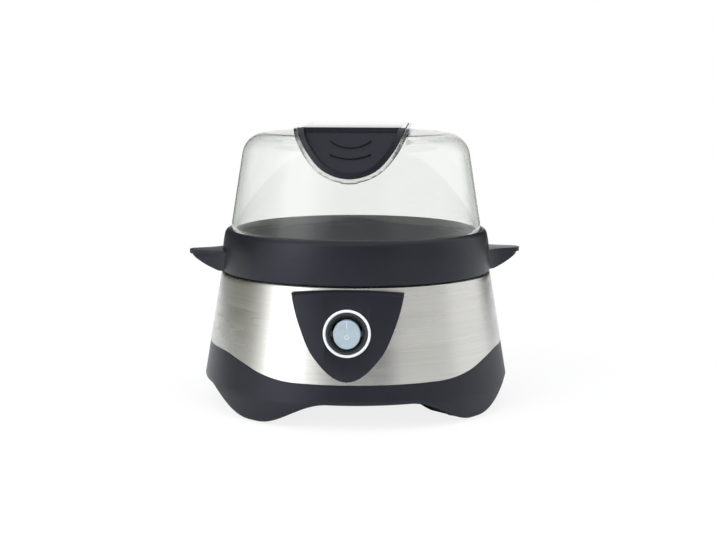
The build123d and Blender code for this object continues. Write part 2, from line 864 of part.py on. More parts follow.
with BuildPart() as heater_plate:
    with BuildSketch(Plane.XY.offset(plate_low_z)):
        Circle(heater_plate_radius)
    extrude(amount=heater_plate_thickness)
    with BuildSketch(Plane.XZ):
        with Locations((element_circle_radius, element_z)):
            Circle(element_radius + fit_gap)
    revolve(axis=Axis.Z, mode=Mode.SUBTRACT)
    with Locations((stud_x, 0, plate_low_z), (-stud_x, 0, plate_low_z)):
        Cylinder(stud_radius, plate_low_z - strap_z + stud_run, align=(Align.CENTER, Align.CENTER, Align.MAX))
    with Locations((flange_screw_x, 0, plate_low_z), (-flange_screw_x, 0, plate_low_z)):
        Cylinder(flange_bore_radius, flange_bore_depth, align=(Align.CENTER, Align.CENTER, Align.MIN),
                 mode=Mode.SUBTRACT)

element_start = radians(90.0 + element_gap)
element_end_z = strap_z + element_end_rise

with BuildPart() as heating_element:
    start_x = Vector(cos(element_start), sin(element_start), 0)
    with BuildSketch(Plane(origin=(0, 0, 0), x_dir=start_x, z_dir=(start_x.Y, -start_x.X, 0))):
        with Locations((element_circle_radius, element_z)):
            Circle(element_radius)
    revolve(axis=Axis.Z, revolution_arc=360.0 - 2 * element_gap)
    for side in (-1, 1):
        end_angle = radians(90.0 + side * element_gap)
        end_x = element_circle_radius * cos(end_angle)
        end_y = element_circle_radius * sin(end_angle)
        with Locations((end_x, end_y, element_z)):
            Sphere(element_radius)
            Cylinder(element_radius, element_z - element_end_z, align=(Align.CENTER, Align.CENTER, Align.MAX))
        with Locations((end_x, end_y, element_end_z)):
            Cylinder(element_pin_radius, element_pin, align=(Align.CENTER, Align.CENTER, Align.MAX))

flange_z = plate_low_z - flange_sheet
thermostat_low_z = flange_z - thermostat_height
tab_z = thermostat_low_z - tab_sheet / 2

with BuildPart() as thermostat:
    with Locations((0, 0, thermostat_low_z)):
        Cylinder(thermostat_radius, thermostat_height, align=(Align.CENTER, Align.CENTER, Align.MIN))
    with Locations((0, 0, flange_z)):
        Cylinder(thermostat_radius - thermostat_neck, flange_sheet, align=(Align.CENTER, Align.CENTER, Align.MIN))
    with Locations((0, thermostat_tab_y, tab_z), (0, -thermostat_tab_y, tab_z)):
        Box(tab_width, thermostat_tab_length, tab_sheet)

with BuildPart() as thermostat_flange:
    with BuildSketch(Plane.XY.offset(flange_z)):
        SlotOverall(flange_length, flange_width)
        Circle(thermostat_radius)
        Circle(thermostat_radius - thermostat_neck_gap, mode=Mode.SUBTRACT)
        with Locations((flange_screw_x, 0), (-flange_screw_x, 0)):
            Circle(flange_hole_radius, mode=Mode.SUBTRACT)
    extrude(amount=flange_sheet)

with BuildPart() as thermostat_screws:
    with Locations((flange_screw_x, 0, flange_z), (-flange_screw_x, 0, flange_z)):
        Cylinder(flange_head_radius, flange_head_height, align=(Align.CENTER, Align.CENTER, Align.MAX))
        Cylinder(flange_screw_radius, flange_screw_length, align=(Align.CENTER, Align.CENTER, Align.MIN))

fuse_z = plate_low_z - fuse_radius - fine_gap

with BuildPart() as thermal_fuse:
    with BuildSketch(Plane.YZ):
        with Locations((fuse_y, fuse_z)):
            Circle(fuse_radius)
    extrude(amount=fuse_half_length, both=True)
    with BuildSketch(Plane.YZ):
        with Locations((fuse_y, fuse_z)):
            Circle(fuse_lead_radius)
    extrude(amount=fuse_lead_half_length, both=True)

with BuildPart() as fuse_clip:
    with BuildSketch(Plane.YZ):
        with Locations((fuse_y, fuse_z)):
            Circle(fuse_radius + fuse_clip_sheet)
        with Locations((fuse_y, plate_low_z)):
            Rectangle(2 * (fuse_radius + fuse_clip_sheet), fuse_radius, align=(Align.CENTER, Align.MAX))
        with Locations((fuse_y + fuse_clip_foot_y, plate_low_z)):
            Rectangle(fuse_clip_foot, fuse_clip_sheet, align=(Align.CENTER, Align.MAX))
        with Locations((fuse_y, fuse_z)):
            Circle(fuse_radius + fine_gap, mode=Mode.SUBTRACT)
            Rectangle(2 * (fuse_radius + fine_gap), fuse_radius + fuse_clip_cut, align=(Align.CENTER, Align.MIN),
                      mode=Mode.SUBTRACT)
    extrude(amount=fuse_clip_half_width, both=True)

with BuildPart() as pan_bracket:
    with BuildSketch(Plane.XY.offset(strap_z)):
        SlotOverall(2 * post_x + strap_margin, strap_width)
        with Locations((post_x, 0), (-post_x, 0)):
            Circle(strap_hole_radius, mode=Mode.SUBTRACT)
        with Locations((stud_x, 0), (-stud_x, 0)):
            Circle(stud_radius + stud_gap, mode=Mode.SUBTRACT)
    extrude(amount=strap_sheet)

with BuildPart() as bracket_screws:
    with Locations((post_x, 0, strap_z + strap_sheet), (-post_x, 0, strap_z + strap_sheet)):
        Cylinder(strap_head_radius, strap_head_height, align=(Align.CENTER, Align.CENTER, Align.MIN))
        Cylinder(strap_screw_radius, strap_screw_length, align=(Align.CENTER, Align.CENTER, Align.MAX))

with BuildPart() as heat_shield:
    with BuildSketch(Plane.XZ):
        with BuildLine():
            Polyline(
                (0, strap_z),
                (shield_flat_radius, strap_z),
                (shield_radius, strap_z - shield_drop),
                (shield_radius, strap_z - shield_drop - shield_sheet),
                (shield_flat_radius, strap_z - shield_sheet),
                (0, strap_z - shield_sheet),
                close=True,
            )
        make_face()
    revolve(axis=Axis.Z)
    with Locations((stud_x, 0, strap_z), (-stud_x, 0, strap_z)):
        Cylinder(stud_radius + stud_gap, shield_hole_cut, mode=Mode.SUBTRACT)

with BuildPart() as pan_nuts:
    with BuildSketch(Plane.XY.offset(strap_z - shield_sheet)):
        with Locations((stud_x, 0), (-stud_x, 0)):
            RegularPolygon(2 * stud_radius, 6)
            Circle(stud_radius + fine_gap, mode=Mode.SUBTRACT)
    extrude(amount=-nut_height)

block_bores = [(-block_bore_x, block_y), (block_bore_x, block_y)]

with BuildPart() as terminal_block:
    with Locations((0, block_y, ledge_top_z)):
        Box(block_length, block_width, block_height, align=(Align.CENTER, Align.CENTER, Align.MIN))
    fillet(terminal_block.edges().filter_by(Axis.Z), radius=block_rounding)
    with Locations(*[(x, y, ledge_top_z + block_height) for x, y in block_bores]):
        Cylinder(block_bore_radius, block_bore_depth, align=(Align.CENTER, Align.CENTER, Align.MAX),
                 mode=Mode.SUBTRACT)

block_screw_z = ledge_top_z + block_height - block_bore_depth

with BuildPart() as terminal_screws:
    with Locations(*[(x, y, block_screw_z) for x, y in block_bores]):
        Cylinder(block_screw_radius, block_screw_height, align=(Align.CENTER, Align.CENTER, Align.MIN))
    with Locations(*[(x, y, block_screw_z + block_screw_height) for x, y in block_bores]):
        Box(block_slot_length, drive_width, block_slot_depth, align=(Align.CENTER, Align.CENTER, Align.MAX),
            mode=Mode.SUBTRACT)


def wire(route, bends):
    """Round wire along straight runs joined by tangent arcs."""
    with BuildPart() as run:
        with BuildLine() as path:
            FilletPolyline(*route, radius=bends)
        start = path.line @ 0
        heading = path.line % 0
        with BuildSketch(Plane(origin=start, z_dir=heading)):
            Circle(wire_radius)
        sweep()
    return run.part


switch_tab = face_point + face_out * tab_end
load_tab = switch_tab + face_up * tab_heights[0]
pin_x = element_circle_radius * sin(radians(element_gap))
pin_y = element_circle_radius * cos(radians(element_gap))
pin_z = element_end_z - element_pin / 2
block_wire_z = ledge_top_z + 6.4
tab_wire_y = switch_tab.Y - wire_radius

# Routes and bend radii of the wires
feed_route = [(-6.0, 54.4, block_wire_z), (-6.0, 34.0, block_wire_z), (-18.0, 0, block_wire_z),
              (-14.0, -40.0, block_wire_z), (-4.5, tab_wire_y, 33.0), (-4.5, tab_wire_y, switch_tab.Z - 1.0)]
feed_bends = [12.0, 16.0, 14.0, 7.0]
load_route = [(4.5, load_tab.Y, load_tab.Z), (4.5, -50.0, 48.6), (2.0, -32.0, tab_z), (0, -16.2, tab_z)]
load_bends = [12.0, 12.0]
link_route = [(0, 16.2, tab_z), (2.0, 24.0, tab_z), (pin_x, 29.0, pin_z), (pin_x, pin_y - 1.4, pin_z)]
link_bends = [4.0, 2.0]
return_route = [(-pin_x, pin_y + 1.4, pin_z), (-pin_x, 50.0, pin_z - 1.6), (-9.0, 61.0, 43.0), (-8.0, 61.0, 33.0)]
return_bends = [8.0, 5.0]

wire_feed = wire(feed_route, feed_bends)
wire_load = wire(load_route, load_bends)
wire_link = wire(link_route, link_bends)
wire_return = wire(return_route, return_bends)


def ear_outline(inset):
    """Points along one edge of the ear, from its root to its tip, drawn in by an inset."""
    return [(ear_root_x, ear_root_half_width - inset), (ear_waist_x, ear_waist_half_width - inset),
            (ear_tip_radius - ear_tip_corner - inset, ear_tip_half_width - inset)]


def ear_part(inset, top_z, low_z):
    """Plate of the ear's outline between two heights."""
    edge = ear_outline(inset)
    other_edge = [(x, -y) for x, y in reversed(edge)]
    other_leans = [(-x, y) for x, y in (ear_tip_lean, ear_root_lean)]
    with BuildPart() as plate:
        with BuildSketch(Plane.XY.offset(low_z)):
            with BuildLine():
                Spline(*edge, tangents=(ear_root_lean, ear_tip_lean))
                ThreePointArc(edge[-1], (ear_tip_radius - inset, 0), other_edge[0])
                Spline(*other_edge, tangents=other_leans)
                Line(other_edge[-1], edge[0])
            make_face()
        extrude(amount=top_z - low_z)
    return plate.part


# Ear: a thin top plate over a web that is set back from its edge and slants up to the tip
with BuildPart() as ear_web:
    add(ear_part(web_inset, ear_top_z - web_lap, ring_bottom_z))
    with BuildSketch(Plane.XZ):
        with BuildLine():
            web_tip = (ear_tip_radius - web_inset, ear_top_z - ear_tip_thickness)
            web_foot = (web_foot_x, ring_bottom_z)
            Spline(web_tip, *web_belly, web_foot, tangents=(web_tip_lean, web_foot_lean))
            Polyline(web_foot, (web_root_x, ring_bottom_z), (web_root_x, ear_top_z),
                     (ear_tip_radius, ear_top_z), web_tip)
        make_face()
    extrude(amount=ear_tip_radius, both=True, mode=Mode.INTERSECT)

with BuildPart() as ear_solid:
    add(ear_part(0.0, ear_top_z, ear_top_z - ear_tip_thickness))
    add(ear_web.part)

ear = ear_solid.part

# Tray ring: a channel with a seat for the lid, a foot on the pan's rim and two ears
rack_seat_z = rack_top_z - rack_thickness
ring_section = [
    (ring_foot_radius, ring_bottom_z),
    (ring_bottom_radius, ring_bottom_z),
    (ring_waist_radius, ring_waist_z),
    (ring_crest_radius, ring_crest_z),
    (lid_pocket_radius, ring_crest_z - ring_crest_drop),
    (lid_pocket_radius, lid_seat_z),
    (ring_inner_radius, lid_seat_z),
    (ring_inner_radius, rack_seat_z),
    (rack_ledge_radius, rack_seat_z),
    (rack_ledge_radius, rack_seat_z - rack_ledge_depth),
    (ring_inner_radius, rack_seat_z - rack_ledge_root),
    (ring_inner_radius, tray_seat_z),
    (ring_channel_radius, tray_seat_z),
    (ring_channel_radius, ring_channel_z),
    (ring_channel_outer_radius, ring_channel_z),
]

with BuildPart() as tray_ring:
    with BuildSketch(Plane.XZ):
        with BuildLine():
            Polyline(*ring_section[0:3])
            ThreePointArc(ring_section[2], ring_crest_middle, ring_section[3])
            Polyline(*ring_section[3:], ring_section[0])
        make_face()
    revolve(axis=Axis.Z)
    for turn in (0.0, 180.0):
        add(ear.rotate(Axis.Z, stance_turn + turn))

# Egg rack: a deck with seven cups, a locating rim and steam holes
cup_places = [(0.0, 0.0)]
for n in range(6):
    around = radians(cup_step * n + cup_turn)
    cup_places.append((cup_circle_radius * cos(around), cup_circle_radius * sin(around)))
cup_rise = rack_top_z + cup_lip - cup_low_z
rack_rim_z = rack_seat_z - rack_rim_depth

with BuildPart() as egg_rack:
    with BuildSketch(Plane.XY.offset(rack_seat_z)):
        Circle(ring_inner_radius - deck_gap)
    extrude(amount=rack_thickness)
    with BuildSketch(Plane.XY.offset(rack_rim_z)):
        Circle(rack_rim_radius)
        Circle(rack_rim_radius - rack_rim_wall, mode=Mode.SUBTRACT)
    extrude(amount=rack_rim_depth)
    with Locations(*[(x, y, cup_low_z) for x, y in cup_places]):
        Cone(cup_low_radius + cup_wall, cup_top_radius + cup_wall, cup_rise,
             align=(Align.CENTER, Align.CENTER, Align.MIN))
    with Locations(*[(x, y, cup_low_z) for x, y in cup_places]):
        Cone(cup_low_radius, cup_top_radius, cup_rise, align=(Align.CENTER, Align.CENTER, Align.MIN),
             mode=Mode.SUBTRACT)
    with BuildSketch(Plane.XY.offset(rack_top_z)):
        with PolarLocations(inner_hole_circle, hole_count):
            Circle(inner_hole_radius)
        with PolarLocations(outer_hole_circle, hole_count):
            Circle(outer_hole_radius)
    extrude(amount=-rack_thickness, mode=Mode.SUBTRACT)


# Lid: a clear truncated cone with a crown, cut from front to back for the grip
def lid_envelope(inset, low_z):
    """Solid inside the lid's outer surface, moved inwards by an inset."""
    top_z = lid_crown_z - inset
    corner_radius = lid_cone_radius(lid_shoulder_z) - inset
    corner_z = top_z - corner_radius ** 2 / (2 * lid_crown_radius)
    half = corner_radius / 2
    with BuildPart() as envelope:
        with BuildSketch(Plane.XZ):
            with BuildLine():
                Polyline((0, top_z), (0, low_z), (lid_radius - inset, low_z),
                         (lid_radius - inset, lid_straight_top_z), (corner_radius, corner_z))
                ThreePointArc((corner_radius, corner_z), (half, top_z - half ** 2 / (2 * lid_crown_radius)),
                              (0, top_z))
            outline = make_face()
            fillet(outline.vertices().sort_by_distance((corner_radius, corner_z, 0))[0],
                   radius=lid_shoulder_fillet - inset)
        revolve(axis=Axis.Z)
    return envelope.part


def raised_envelope(proud, top_z):
    """Solid with the lid's wall and a flat, raised top, for the rim and the grip."""
    corner_radius = lid_cone_radius(top_z) + proud
    with BuildPart() as envelope:
        with BuildSketch(Plane.XZ):
            with BuildLine():
                Polyline((0, top_z), (0, raised_low_z), (lid_cone_radius(raised_low_z) + proud, raised_low_z),
                         (corner_radius, top_z), close=True)
            outline = make_face()
            fillet(outline.vertices().sort_by_distance((corner_radius, top_z, 0))[0], radius=raised_fillet)
        revolve(axis=Axis.Z)
    return envelope.part


def recess_curve(grow):
    """Points down and up the recess outline, a rounded V, grown outwards."""
    down = [
        (recess_half_width + grow, recess_shoulder_z),
        (recess_knee[0] + recess_knee_grow[0] * grow, recess_knee[1] + recess_knee_grow[1] * grow),
        (recess_toe[0] + recess_toe_grow[0] * grow, recess_toe[1] + recess_toe_grow[1] * grow),
    ]
    return [*down, (0, recess_tip_z - grow), *[(-x, z) for x, z in reversed(down)]]


def recess_lid(grow):
    """Points that close the recess outline well above the lid."""
    side = recess_half_width + grow
    return [(-side, recess_shoulder_z), (-side, recess_block_z), (side, recess_block_z), (side, recess_shoulder_z)]


def recess_prism(grow, low_y, high_y):
    """Prism of the recess outline, grown outwards, from low_y to high_y."""
    with BuildPart() as prism:
        with BuildSketch(Plane.XZ.offset(-low_y)):
            with BuildLine():
                Spline(*recess_curve(grow), tangents=((-recess_lean, -1), (-recess_lean, 1)))
                Polyline(*recess_lid(grow))
            make_face()
        extrude(amount=low_y - high_y)
    return prism.part


lid_skin = lid_envelope(0.0, lid_seat_z)
lid_hollow = lid_envelope(lid_wall, lid_seat_z - lid_cut_run)
lid_core = lid_envelope(lid_wall + rim_depth, lid_seat_z - lid_cut_run)
rim_skin = raised_envelope(0.0, rim_top_z)
grip_skin = raised_envelope(grip_proud, recess_top_z)

with BuildPart() as recess_rim:
    add(recess_prism(rim_wall, -recess_reach, recess_reach))
    add(rim_skin, mode=Mode.INTERSECT)
    add(lid_core, mode=Mode.SUBTRACT)

with BuildPart() as lid_dome:
    add(lid_skin)
    add(lid_hollow, mode=Mode.SUBTRACT)
    add(recess_rim.part)
    add(recess_prism(0.0, -recess_reach, recess_reach), mode=Mode.SUBTRACT)
    with Locations((vent_x, 0, lid_crown_z - vent_drop), (-vent_x, 0, lid_crown_z - vent_drop)):
        Cylinder(vent_radius, vent_cut, mode=Mode.SUBTRACT)


def grip_face_y(z):
    """Distance of the sloping grip faces from the middle of the lid at height z."""
    return grip_face_top_y + grip_face_slope * (recess_top_z - z)


def between_faces(inset, half_width, low_z, high_z):
    """Block that fills the space between both grip faces, its ends drawn in by an inset."""
    low_y = grip_face_y(low_z) - inset
    high_y = grip_face_y(high_z) - inset
    with BuildPart() as block:
        with BuildSketch(Plane.YZ):
            with BuildLine():
                Polyline((-low_y, low_z), (low_y, low_z), (high_y, high_z), (-high_y, high_z), close=True)
            make_face()
        extrude(amount=half_width, both=True)
    return block.part


def finger_pocket(sign):
    """Drafted pocket for the fingers in front of a grip face; sign -1 is the front."""
    with BuildPart() as pocket:
        for y, inset in ((sign * grip_face_top_y, pocket_back_inset), (sign * pocket_front_y, pocket_front_inset)):
            with BuildSketch(Plane.XZ.offset(-y)):
                with BuildLine():
                    Spline(*recess_curve(-inset), tangents=((-recess_lean, -1), (-recess_lean, 1)))
                    Polyline(*recess_lid(-inset))
                make_face()
        loft(ruled=True)
        add(between_faces(0.0, recess_reach, raised_low_z, recess_top_z), mode=Mode.SUBTRACT)
    return pocket.part


# The grip face leans back towards the top
face_lean = sqrt(1 + grip_face_slope ** 2)
hollow_inset = grip_wall * face_lean


def ridge_plane(sign):
    """Plane on a grip face, its origin on the top edge; sign -1 is the front."""
    outwards = Vector(0, sign, grip_face_slope)
    return Plane(origin=(0, sign * grip_face_top_y, recess_top_z), x_dir=(-sign, 0, 0), z_dir=outwards)


def up_the_face(z):
    """Distance along a grip face from its top edge to height z."""
    return (z - recess_top_z) * face_lean


with BuildPart() as lid_handle:
    add(recess_prism(-fit_gap, -recess_reach, recess_reach))
    add(grip_skin, mode=Mode.INTERSECT)
    for sign in (-1, 1):
        add(finger_pocket(sign), mode=Mode.SUBTRACT)
    # Hollow between the two grip faces
    add(between_faces(hollow_inset, hollow_half_width, hollow_low_z, recess_top_z - handle_plate),
        mode=Mode.SUBTRACT)
    # Top plate, overhanging both pockets a little
    with BuildSketch(Plane.XY.offset(recess_top_z)):
        RectangleRounded(2 * handle_half_width, 2 * (grip_face_top_y + handle_overhang), handle_corner)
    extrude(amount=-handle_plate)
    # Curved grip ridges on both grip faces
    for sign in (-1, 1):
        with BuildSketch(ridge_plane(sign).offset(-ridge_root)):
            for end_z, middle_z in ridge_arcs:
                end = up_the_face(end_z)
                middle = up_the_face(middle_z)
                with BuildLine():
                    low = ThreePointArc((-ridge_half_width, end), (0, middle), (ridge_half_width, end))
                    high = ThreePointArc((-ridge_half_width, end + ridge_height), (0, middle + ridge_height),
                                         (ridge_half_width, end + ridge_height))
                    Line(low @ 0, high @ 0)
                    Line(low @ 1, high @ 1)
                make_face()
        extrude(amount=ridge_root + ridge_proud)

pieces = {
    "lid_dome": lid_dome.part,
    "lid_handle": lid_handle.part,
    "tray_ring": tray_ring.part,
    "egg_rack": egg_rack.part,
    "steel_shell": steel_shell.part,
    "base_skirt": base_skirt.part,
    "bottom_cover": bottom_cover.part,
    "cover_screws": cover_screws.part,
    "foot_pads": foot_pads.part,
    "cord_gland": cord_gland.part,
    "control_panel": control_panel.part,
    "panel_clips": panel_clips.part,
    "switch_ring": switch_ring.part,
    "switch_housing": switch_housing.part,
    "switch_terminals": switch_terminals.part,
    "switch_rocker": switch_rocker.part,
    "rocker_marks": rocker_marks.part,
    "rocker_lamp": rocker_lamp.part,
    "switch_contact": switch_contact.part,
    "water_pan": water_pan.part,
    "pan_gasket": pan_gasket.part,
    "heater_plate": heater_plate.part,
    "heating_element": heating_element.part,
    "thermostat": thermostat.part,
    "thermostat_flange": thermostat_flange.part,
    "thermostat_screws": thermostat_screws.part,
    "thermal_fuse": thermal_fuse.part,
    "fuse_clip": fuse_clip.part,
    "pan_bracket": pan_bracket.part,
    "bracket_screws": bracket_screws.part,
    "heat_shield": heat_shield.part,
    "pan_nuts": pan_nuts.part,
    "terminal_block": terminal_block.part,
    "terminal_screws": terminal_screws.part,
    "wire_feed": wire_feed,
    "wire_load": wire_load,
    "wire_link": wire_link,
    "wire_return": wire_return,
}
for name, piece in pieces.items():
    piece.label = name
    export_step(piece, f"parts/{name}.step")
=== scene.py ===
"""Electric egg cooker: finished pieces and finishes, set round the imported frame.

Sizes are in millimetres unless a field or comment says otherwise, and are turned into metres when a mesh is made.
Front is -Y, up is +Z and the table is Z = 0, as in the frame.
"""

import json
import logging
import math
from dataclasses import dataclass
from enum import Enum
from typing import Callable, Iterable, Optional, Sequence

import bmesh
import bpy
from mathutils import Matrix, Vector
from mathutils.geometry import interpolate_bezier


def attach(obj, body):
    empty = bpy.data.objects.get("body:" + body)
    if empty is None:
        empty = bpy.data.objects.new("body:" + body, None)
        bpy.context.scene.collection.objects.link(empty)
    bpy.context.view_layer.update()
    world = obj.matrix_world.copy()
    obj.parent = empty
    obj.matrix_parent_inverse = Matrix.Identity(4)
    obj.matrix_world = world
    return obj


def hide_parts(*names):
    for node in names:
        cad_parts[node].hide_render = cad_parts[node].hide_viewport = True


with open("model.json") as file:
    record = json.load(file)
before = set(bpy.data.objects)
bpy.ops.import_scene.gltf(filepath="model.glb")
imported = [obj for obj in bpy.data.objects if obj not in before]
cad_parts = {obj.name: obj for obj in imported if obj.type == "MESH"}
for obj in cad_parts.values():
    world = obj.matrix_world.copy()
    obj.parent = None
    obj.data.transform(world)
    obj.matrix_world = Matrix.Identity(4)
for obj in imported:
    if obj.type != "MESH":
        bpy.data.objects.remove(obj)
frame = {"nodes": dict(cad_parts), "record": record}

log = logging.getLogger("egg_cooker")

MM = 0.001
SMOOTH_ANGLE = math.radians(32.0)
ROUND_STEPS = 192
RIGHT_ANGLE = math.pi / 2
FULL_TURN = 2 * math.pi
ORIGIN = (0, 0, 0)
UP = (0, 0, 1)

Point = tuple[float, float]
Corner = tuple[float, float, float]
Colour = tuple[float, float, float]
Socket = bpy.types.NodeSocket


class Cut(Enum):
    """How one solid shapes another."""

    AWAY = "DIFFERENCE"
    COMMON = "INTERSECT"
    JOIN = "UNION"


class Body(Enum):
    """The moving groups of the frame."""

    BASE = "base"
    TRAY = "tray"
    LID = "lid"
    ROCKER = "rocker"
    CONTACT = "contact"


# Mesh making


def new_object(name: str, bm: bmesh.types.BMesh) -> bpy.types.Object:
    """Make an object of a bmesh and free the bmesh.

    Args:
        name: Name of the piece.
        bm: Mesh in metres, in the frame's place.

    Returns:
        The new object, linked to the scene.
    """
    mesh = bpy.data.meshes.new(name)
    bm.to_mesh(mesh)
    bm.free()
    obj = bpy.data.objects.new(name, mesh)
    bpy.context.scene.collection.objects.link(obj)
    return obj


def close_up(bm: bmesh.types.BMesh) -> None:
    """Merge doubles, then turn every face outwards.

    Args:
        bm: Mesh to tidy.
    """
    bmesh.ops.remove_doubles(bm, verts=bm.verts[:], dist=2e-6)
    bmesh.ops.dissolve_degenerate(bm, dist=1e-7, edges=bm.edges[:])
    bmesh.ops.recalc_face_normals(bm, faces=bm.faces[:])


def shade(obj: bpy.types.Object, angle: float = SMOOTH_ANGLE) -> bpy.types.Object:
    """Shade a mesh smooth, but keep edges steeper than an angle sharp.

    Args:
        obj: Object to shade.
        angle: Angle in radians.

    Returns:
        The same object.
    """
    for face in obj.data.polygons:
        face.use_smooth = True
    obj.data.set_sharp_from_angle(angle=angle)
    return obj


def section_face(bm: bmesh.types.BMesh, corners: Sequence[Corner], place: Callable[[float, float], Vector]) -> list:
    """Lay a closed section in a plane and round its corners.

    Args:
        bm: Mesh to add to.
        corners: Across, up and setback of the rounding of each corner.
        place: Turns across and up, in metres, into a point.

    Returns:
        The section's edges, without the face.
    """
    verts = [bm.verts.new(place(a * MM, b * MM)) for a, b, _ in corners]
    bm.faces.new(verts)
    for vert, (_, _, setback) in zip(verts, corners):
        if setback > 0:
            bmesh.ops.bevel(
                bm, geom=[vert], offset=setback * MM, offset_type="OFFSET", affect="VERTICES", segments=5,
                profile=0.5, material=-1,
            )
    edges = bm.edges[:]
    bmesh.ops.delete(bm, geom=bm.faces[:], context="FACES_ONLY")
    return edges


def spin(bm: bmesh.types.BMesh, angle: float, steps: int, whole: bool) -> None:
    """Spin all of a mesh round the Z axis.

    Args:
        bm: Mesh to spin.
        angle: Angle in radians.
        steps: Number of steps.
        whole: Whether the last step meets the first.
    """
    bmesh.ops.spin(
        bm, geom=bm.verts[:] + bm.edges[:], cent=ORIGIN, axis=UP, dvec=ORIGIN, angle=angle, steps=steps,
        use_merge=whole, use_duplicate=False,
    )


def turned(name: str, corners: Sequence[Corner], steps: int = ROUND_STEPS,
           axis: Optional[Matrix] = None) -> bpy.types.Object:
    """Spin a closed section round the Z axis.

    Args:
        name: Name of the piece.
        corners: Radius, height and corner setback of the section's corners.
        steps: Number of steps of the spin.
        axis: Matrix that carries the Z axis to another axis, or None.

    Returns:
        The turned object.
    """
    bm = bmesh.new()
    edges = section_face(bm, corners, lambda a, b: Vector((a, 0.0, b)))
    on_axis = [e for e in edges if all(abs(v.co.x) < 1e-7 for v in e.verts)]
    bmesh.ops.delete(bm, geom=on_axis, context="EDGES")
    spin(bm, math.radians(360.0), steps, True)
    close_up(bm)
    if axis is not None:
        bmesh.ops.transform(bm, matrix=axis, verts=bm.verts[:])
    return shade(new_object(name, bm))


def plug(name: str, radius: float, low: float, high: float, steps: int,
         axis: Optional[Matrix] = None) -> bpy.types.Object:
    """Plain round solid that cuts or shapes another.

    Args:
        name: Name of the plug.
        radius: Its radius.
        low: Height of its lower end.
        high: Height of its upper end.
        steps: Number of steps of the spin.
        axis: Matrix that carries the Z axis to another axis, or None.

    Returns:
        The plug.
    """
    return turned(name, [(0, low, 0), (radius, low, 0), (radius, high, 0), (0, high, 0)], steps, axis)


def smooth_path(points: Sequence[Point], start: Point, end: Point, fineness: int = 12) -> list[Point]:
    """Smooth curve through points, with given directions at its ends.

    Args:
        points: Points to pass through.
        start: Direction at the first point.
        end: Direction at the last point.
        fineness: Points on each span.

    Returns:
        Points along the curve.
    """
    knots = [Vector((a, b, 0)) for a, b in points]
    headings = []
    for n, knot in enumerate(knots):
        if n == 0:
            headings.append(Vector((*start, 0)).normalized())
        elif n == len(knots) - 1:
            headings.append(Vector((*end, 0)).normalized())
        else:
            before, after = knot - knots[n - 1], knots[n + 1] - knot
            turn = before.normalized() * after.length + after.normalized() * before.length
            headings.append(turn.normalized())
    path: list[Point] = []
    for n in range(len(knots) - 1):
        reach = (knots[n + 1] - knots[n]).length / 3
        span = interpolate_bezier(
            knots[n], knots[n] + headings[n] * reach, knots[n + 1] - headings[n + 1] * reach, knots[n + 1],
            fineness + 1,
        )
        path += [(p.x, p.y) for p in span[:-1]]
    return path + [(knots[-1].x, knots[-1].y)]


def mirrored(points: Sequence[Point]) -> list[Point]:
    """Points on the other side of the middle, in turned order."""
    return [(-x, z) for x, z in reversed(points)]


def drawn(name: str, outline: Sequence[Corner], along: Corner) -> bpy.types.Object:
    """Solid of a flat outline that is pulled along a vector.

    Args:
        name: Name of the piece.
        outline: Points of the closed outline.
        along: How far it is pulled.

    Returns:
        The new object.
    """
    bm = bmesh.new()
    face = bm.faces.new([bm.verts.new([c * MM for c in point]) for point in outline])
    pushed = bmesh.ops.extrude_face_region(bm, geom=[face], use_keep_orig=True)
    top = [v for v in pushed["geom"] if isinstance(v, bmesh.types.BMVert)]
    bmesh.ops.translate(bm, vec=[c * MM for c in along], verts=top)
    close_up(bm)
    return new_object(name, bm)


def prism(name: str, outline: Sequence[Point], low_y: float, high_y: float) -> bpy.types.Object:
    """Solid of an outline seen from the front, from one depth to another.

    Args:
        name: Name of the piece.
        outline: Closed outline of X and Z.
        low_y: Nearer depth.
        high_y: Farther depth.

    Returns:
        The new object.
    """
    return drawn(name, [(x, low_y, z) for x, z in outline], (0, high_y - low_y, 0))


def block(name: str, low: Sequence[float], high: Sequence[float], rounding: float = 0.0,
          segments: int = 3) -> bpy.types.Object:
    """Box between two corners, its edges rounded.

    Args:
        name: Name of the piece.
        low: Lowest corner.
        high: Highest corner.
        rounding: Width of the rounding.
        segments: Steps of the rounding.

    Returns:
        The new object.
    """
    bm = bmesh.new()
    bmesh.ops.create_cube(bm, size=1.0)
    size = [(b - a) * MM for a, b in zip(low, high)]
    centre = [(b + a) * MM / 2 for a, b in zip(low, high)]
    bmesh.ops.scale(bm, vec=size, verts=bm.verts[:])
    bmesh.ops.translate(bm, vec=centre, verts=bm.verts[:])
    if rounding > 0:
        bmesh.ops.bevel(bm, geom=bm.edges[:], offset=rounding * MM, offset_type="OFFSET", affect="EDGES",
                        segments=segments, profile=0.5, material=-1)
    close_up(bm)
    return shade(new_object(name, bm))


def freeze(obj: bpy.types.Object) -> None:
    """Turn an object's modifiers into its mesh.

    Args:
        obj: Object with modifiers.
    """
    bpy.context.view_layer.update()
    ready = obj.evaluated_get(bpy.context.evaluated_depsgraph_get())
    mesh = bpy.data.meshes.new_from_object(ready)
    obj.modifiers.clear()
    old = obj.data
    obj.data = mesh
    bpy.data.meshes.remove(old)


def carve(target: bpy.types.Object, tools: Iterable[bpy.types.Object], how: Cut) -> None:
    """Shape a solid by others, one after another, and use the others up.

    Args:
        target: Solid that is shaped.
        tools: Solids that shape it.
        how: Whether they cut it, keep what is common or join it.
    """
    for tool in tools:
        step = target.modifiers.new("shape", "BOOLEAN")
        step.object = tool
        step.operation = how.value
        step.solver = "EXACT"
        freeze(target)
        bpy.data.objects.remove(tool)


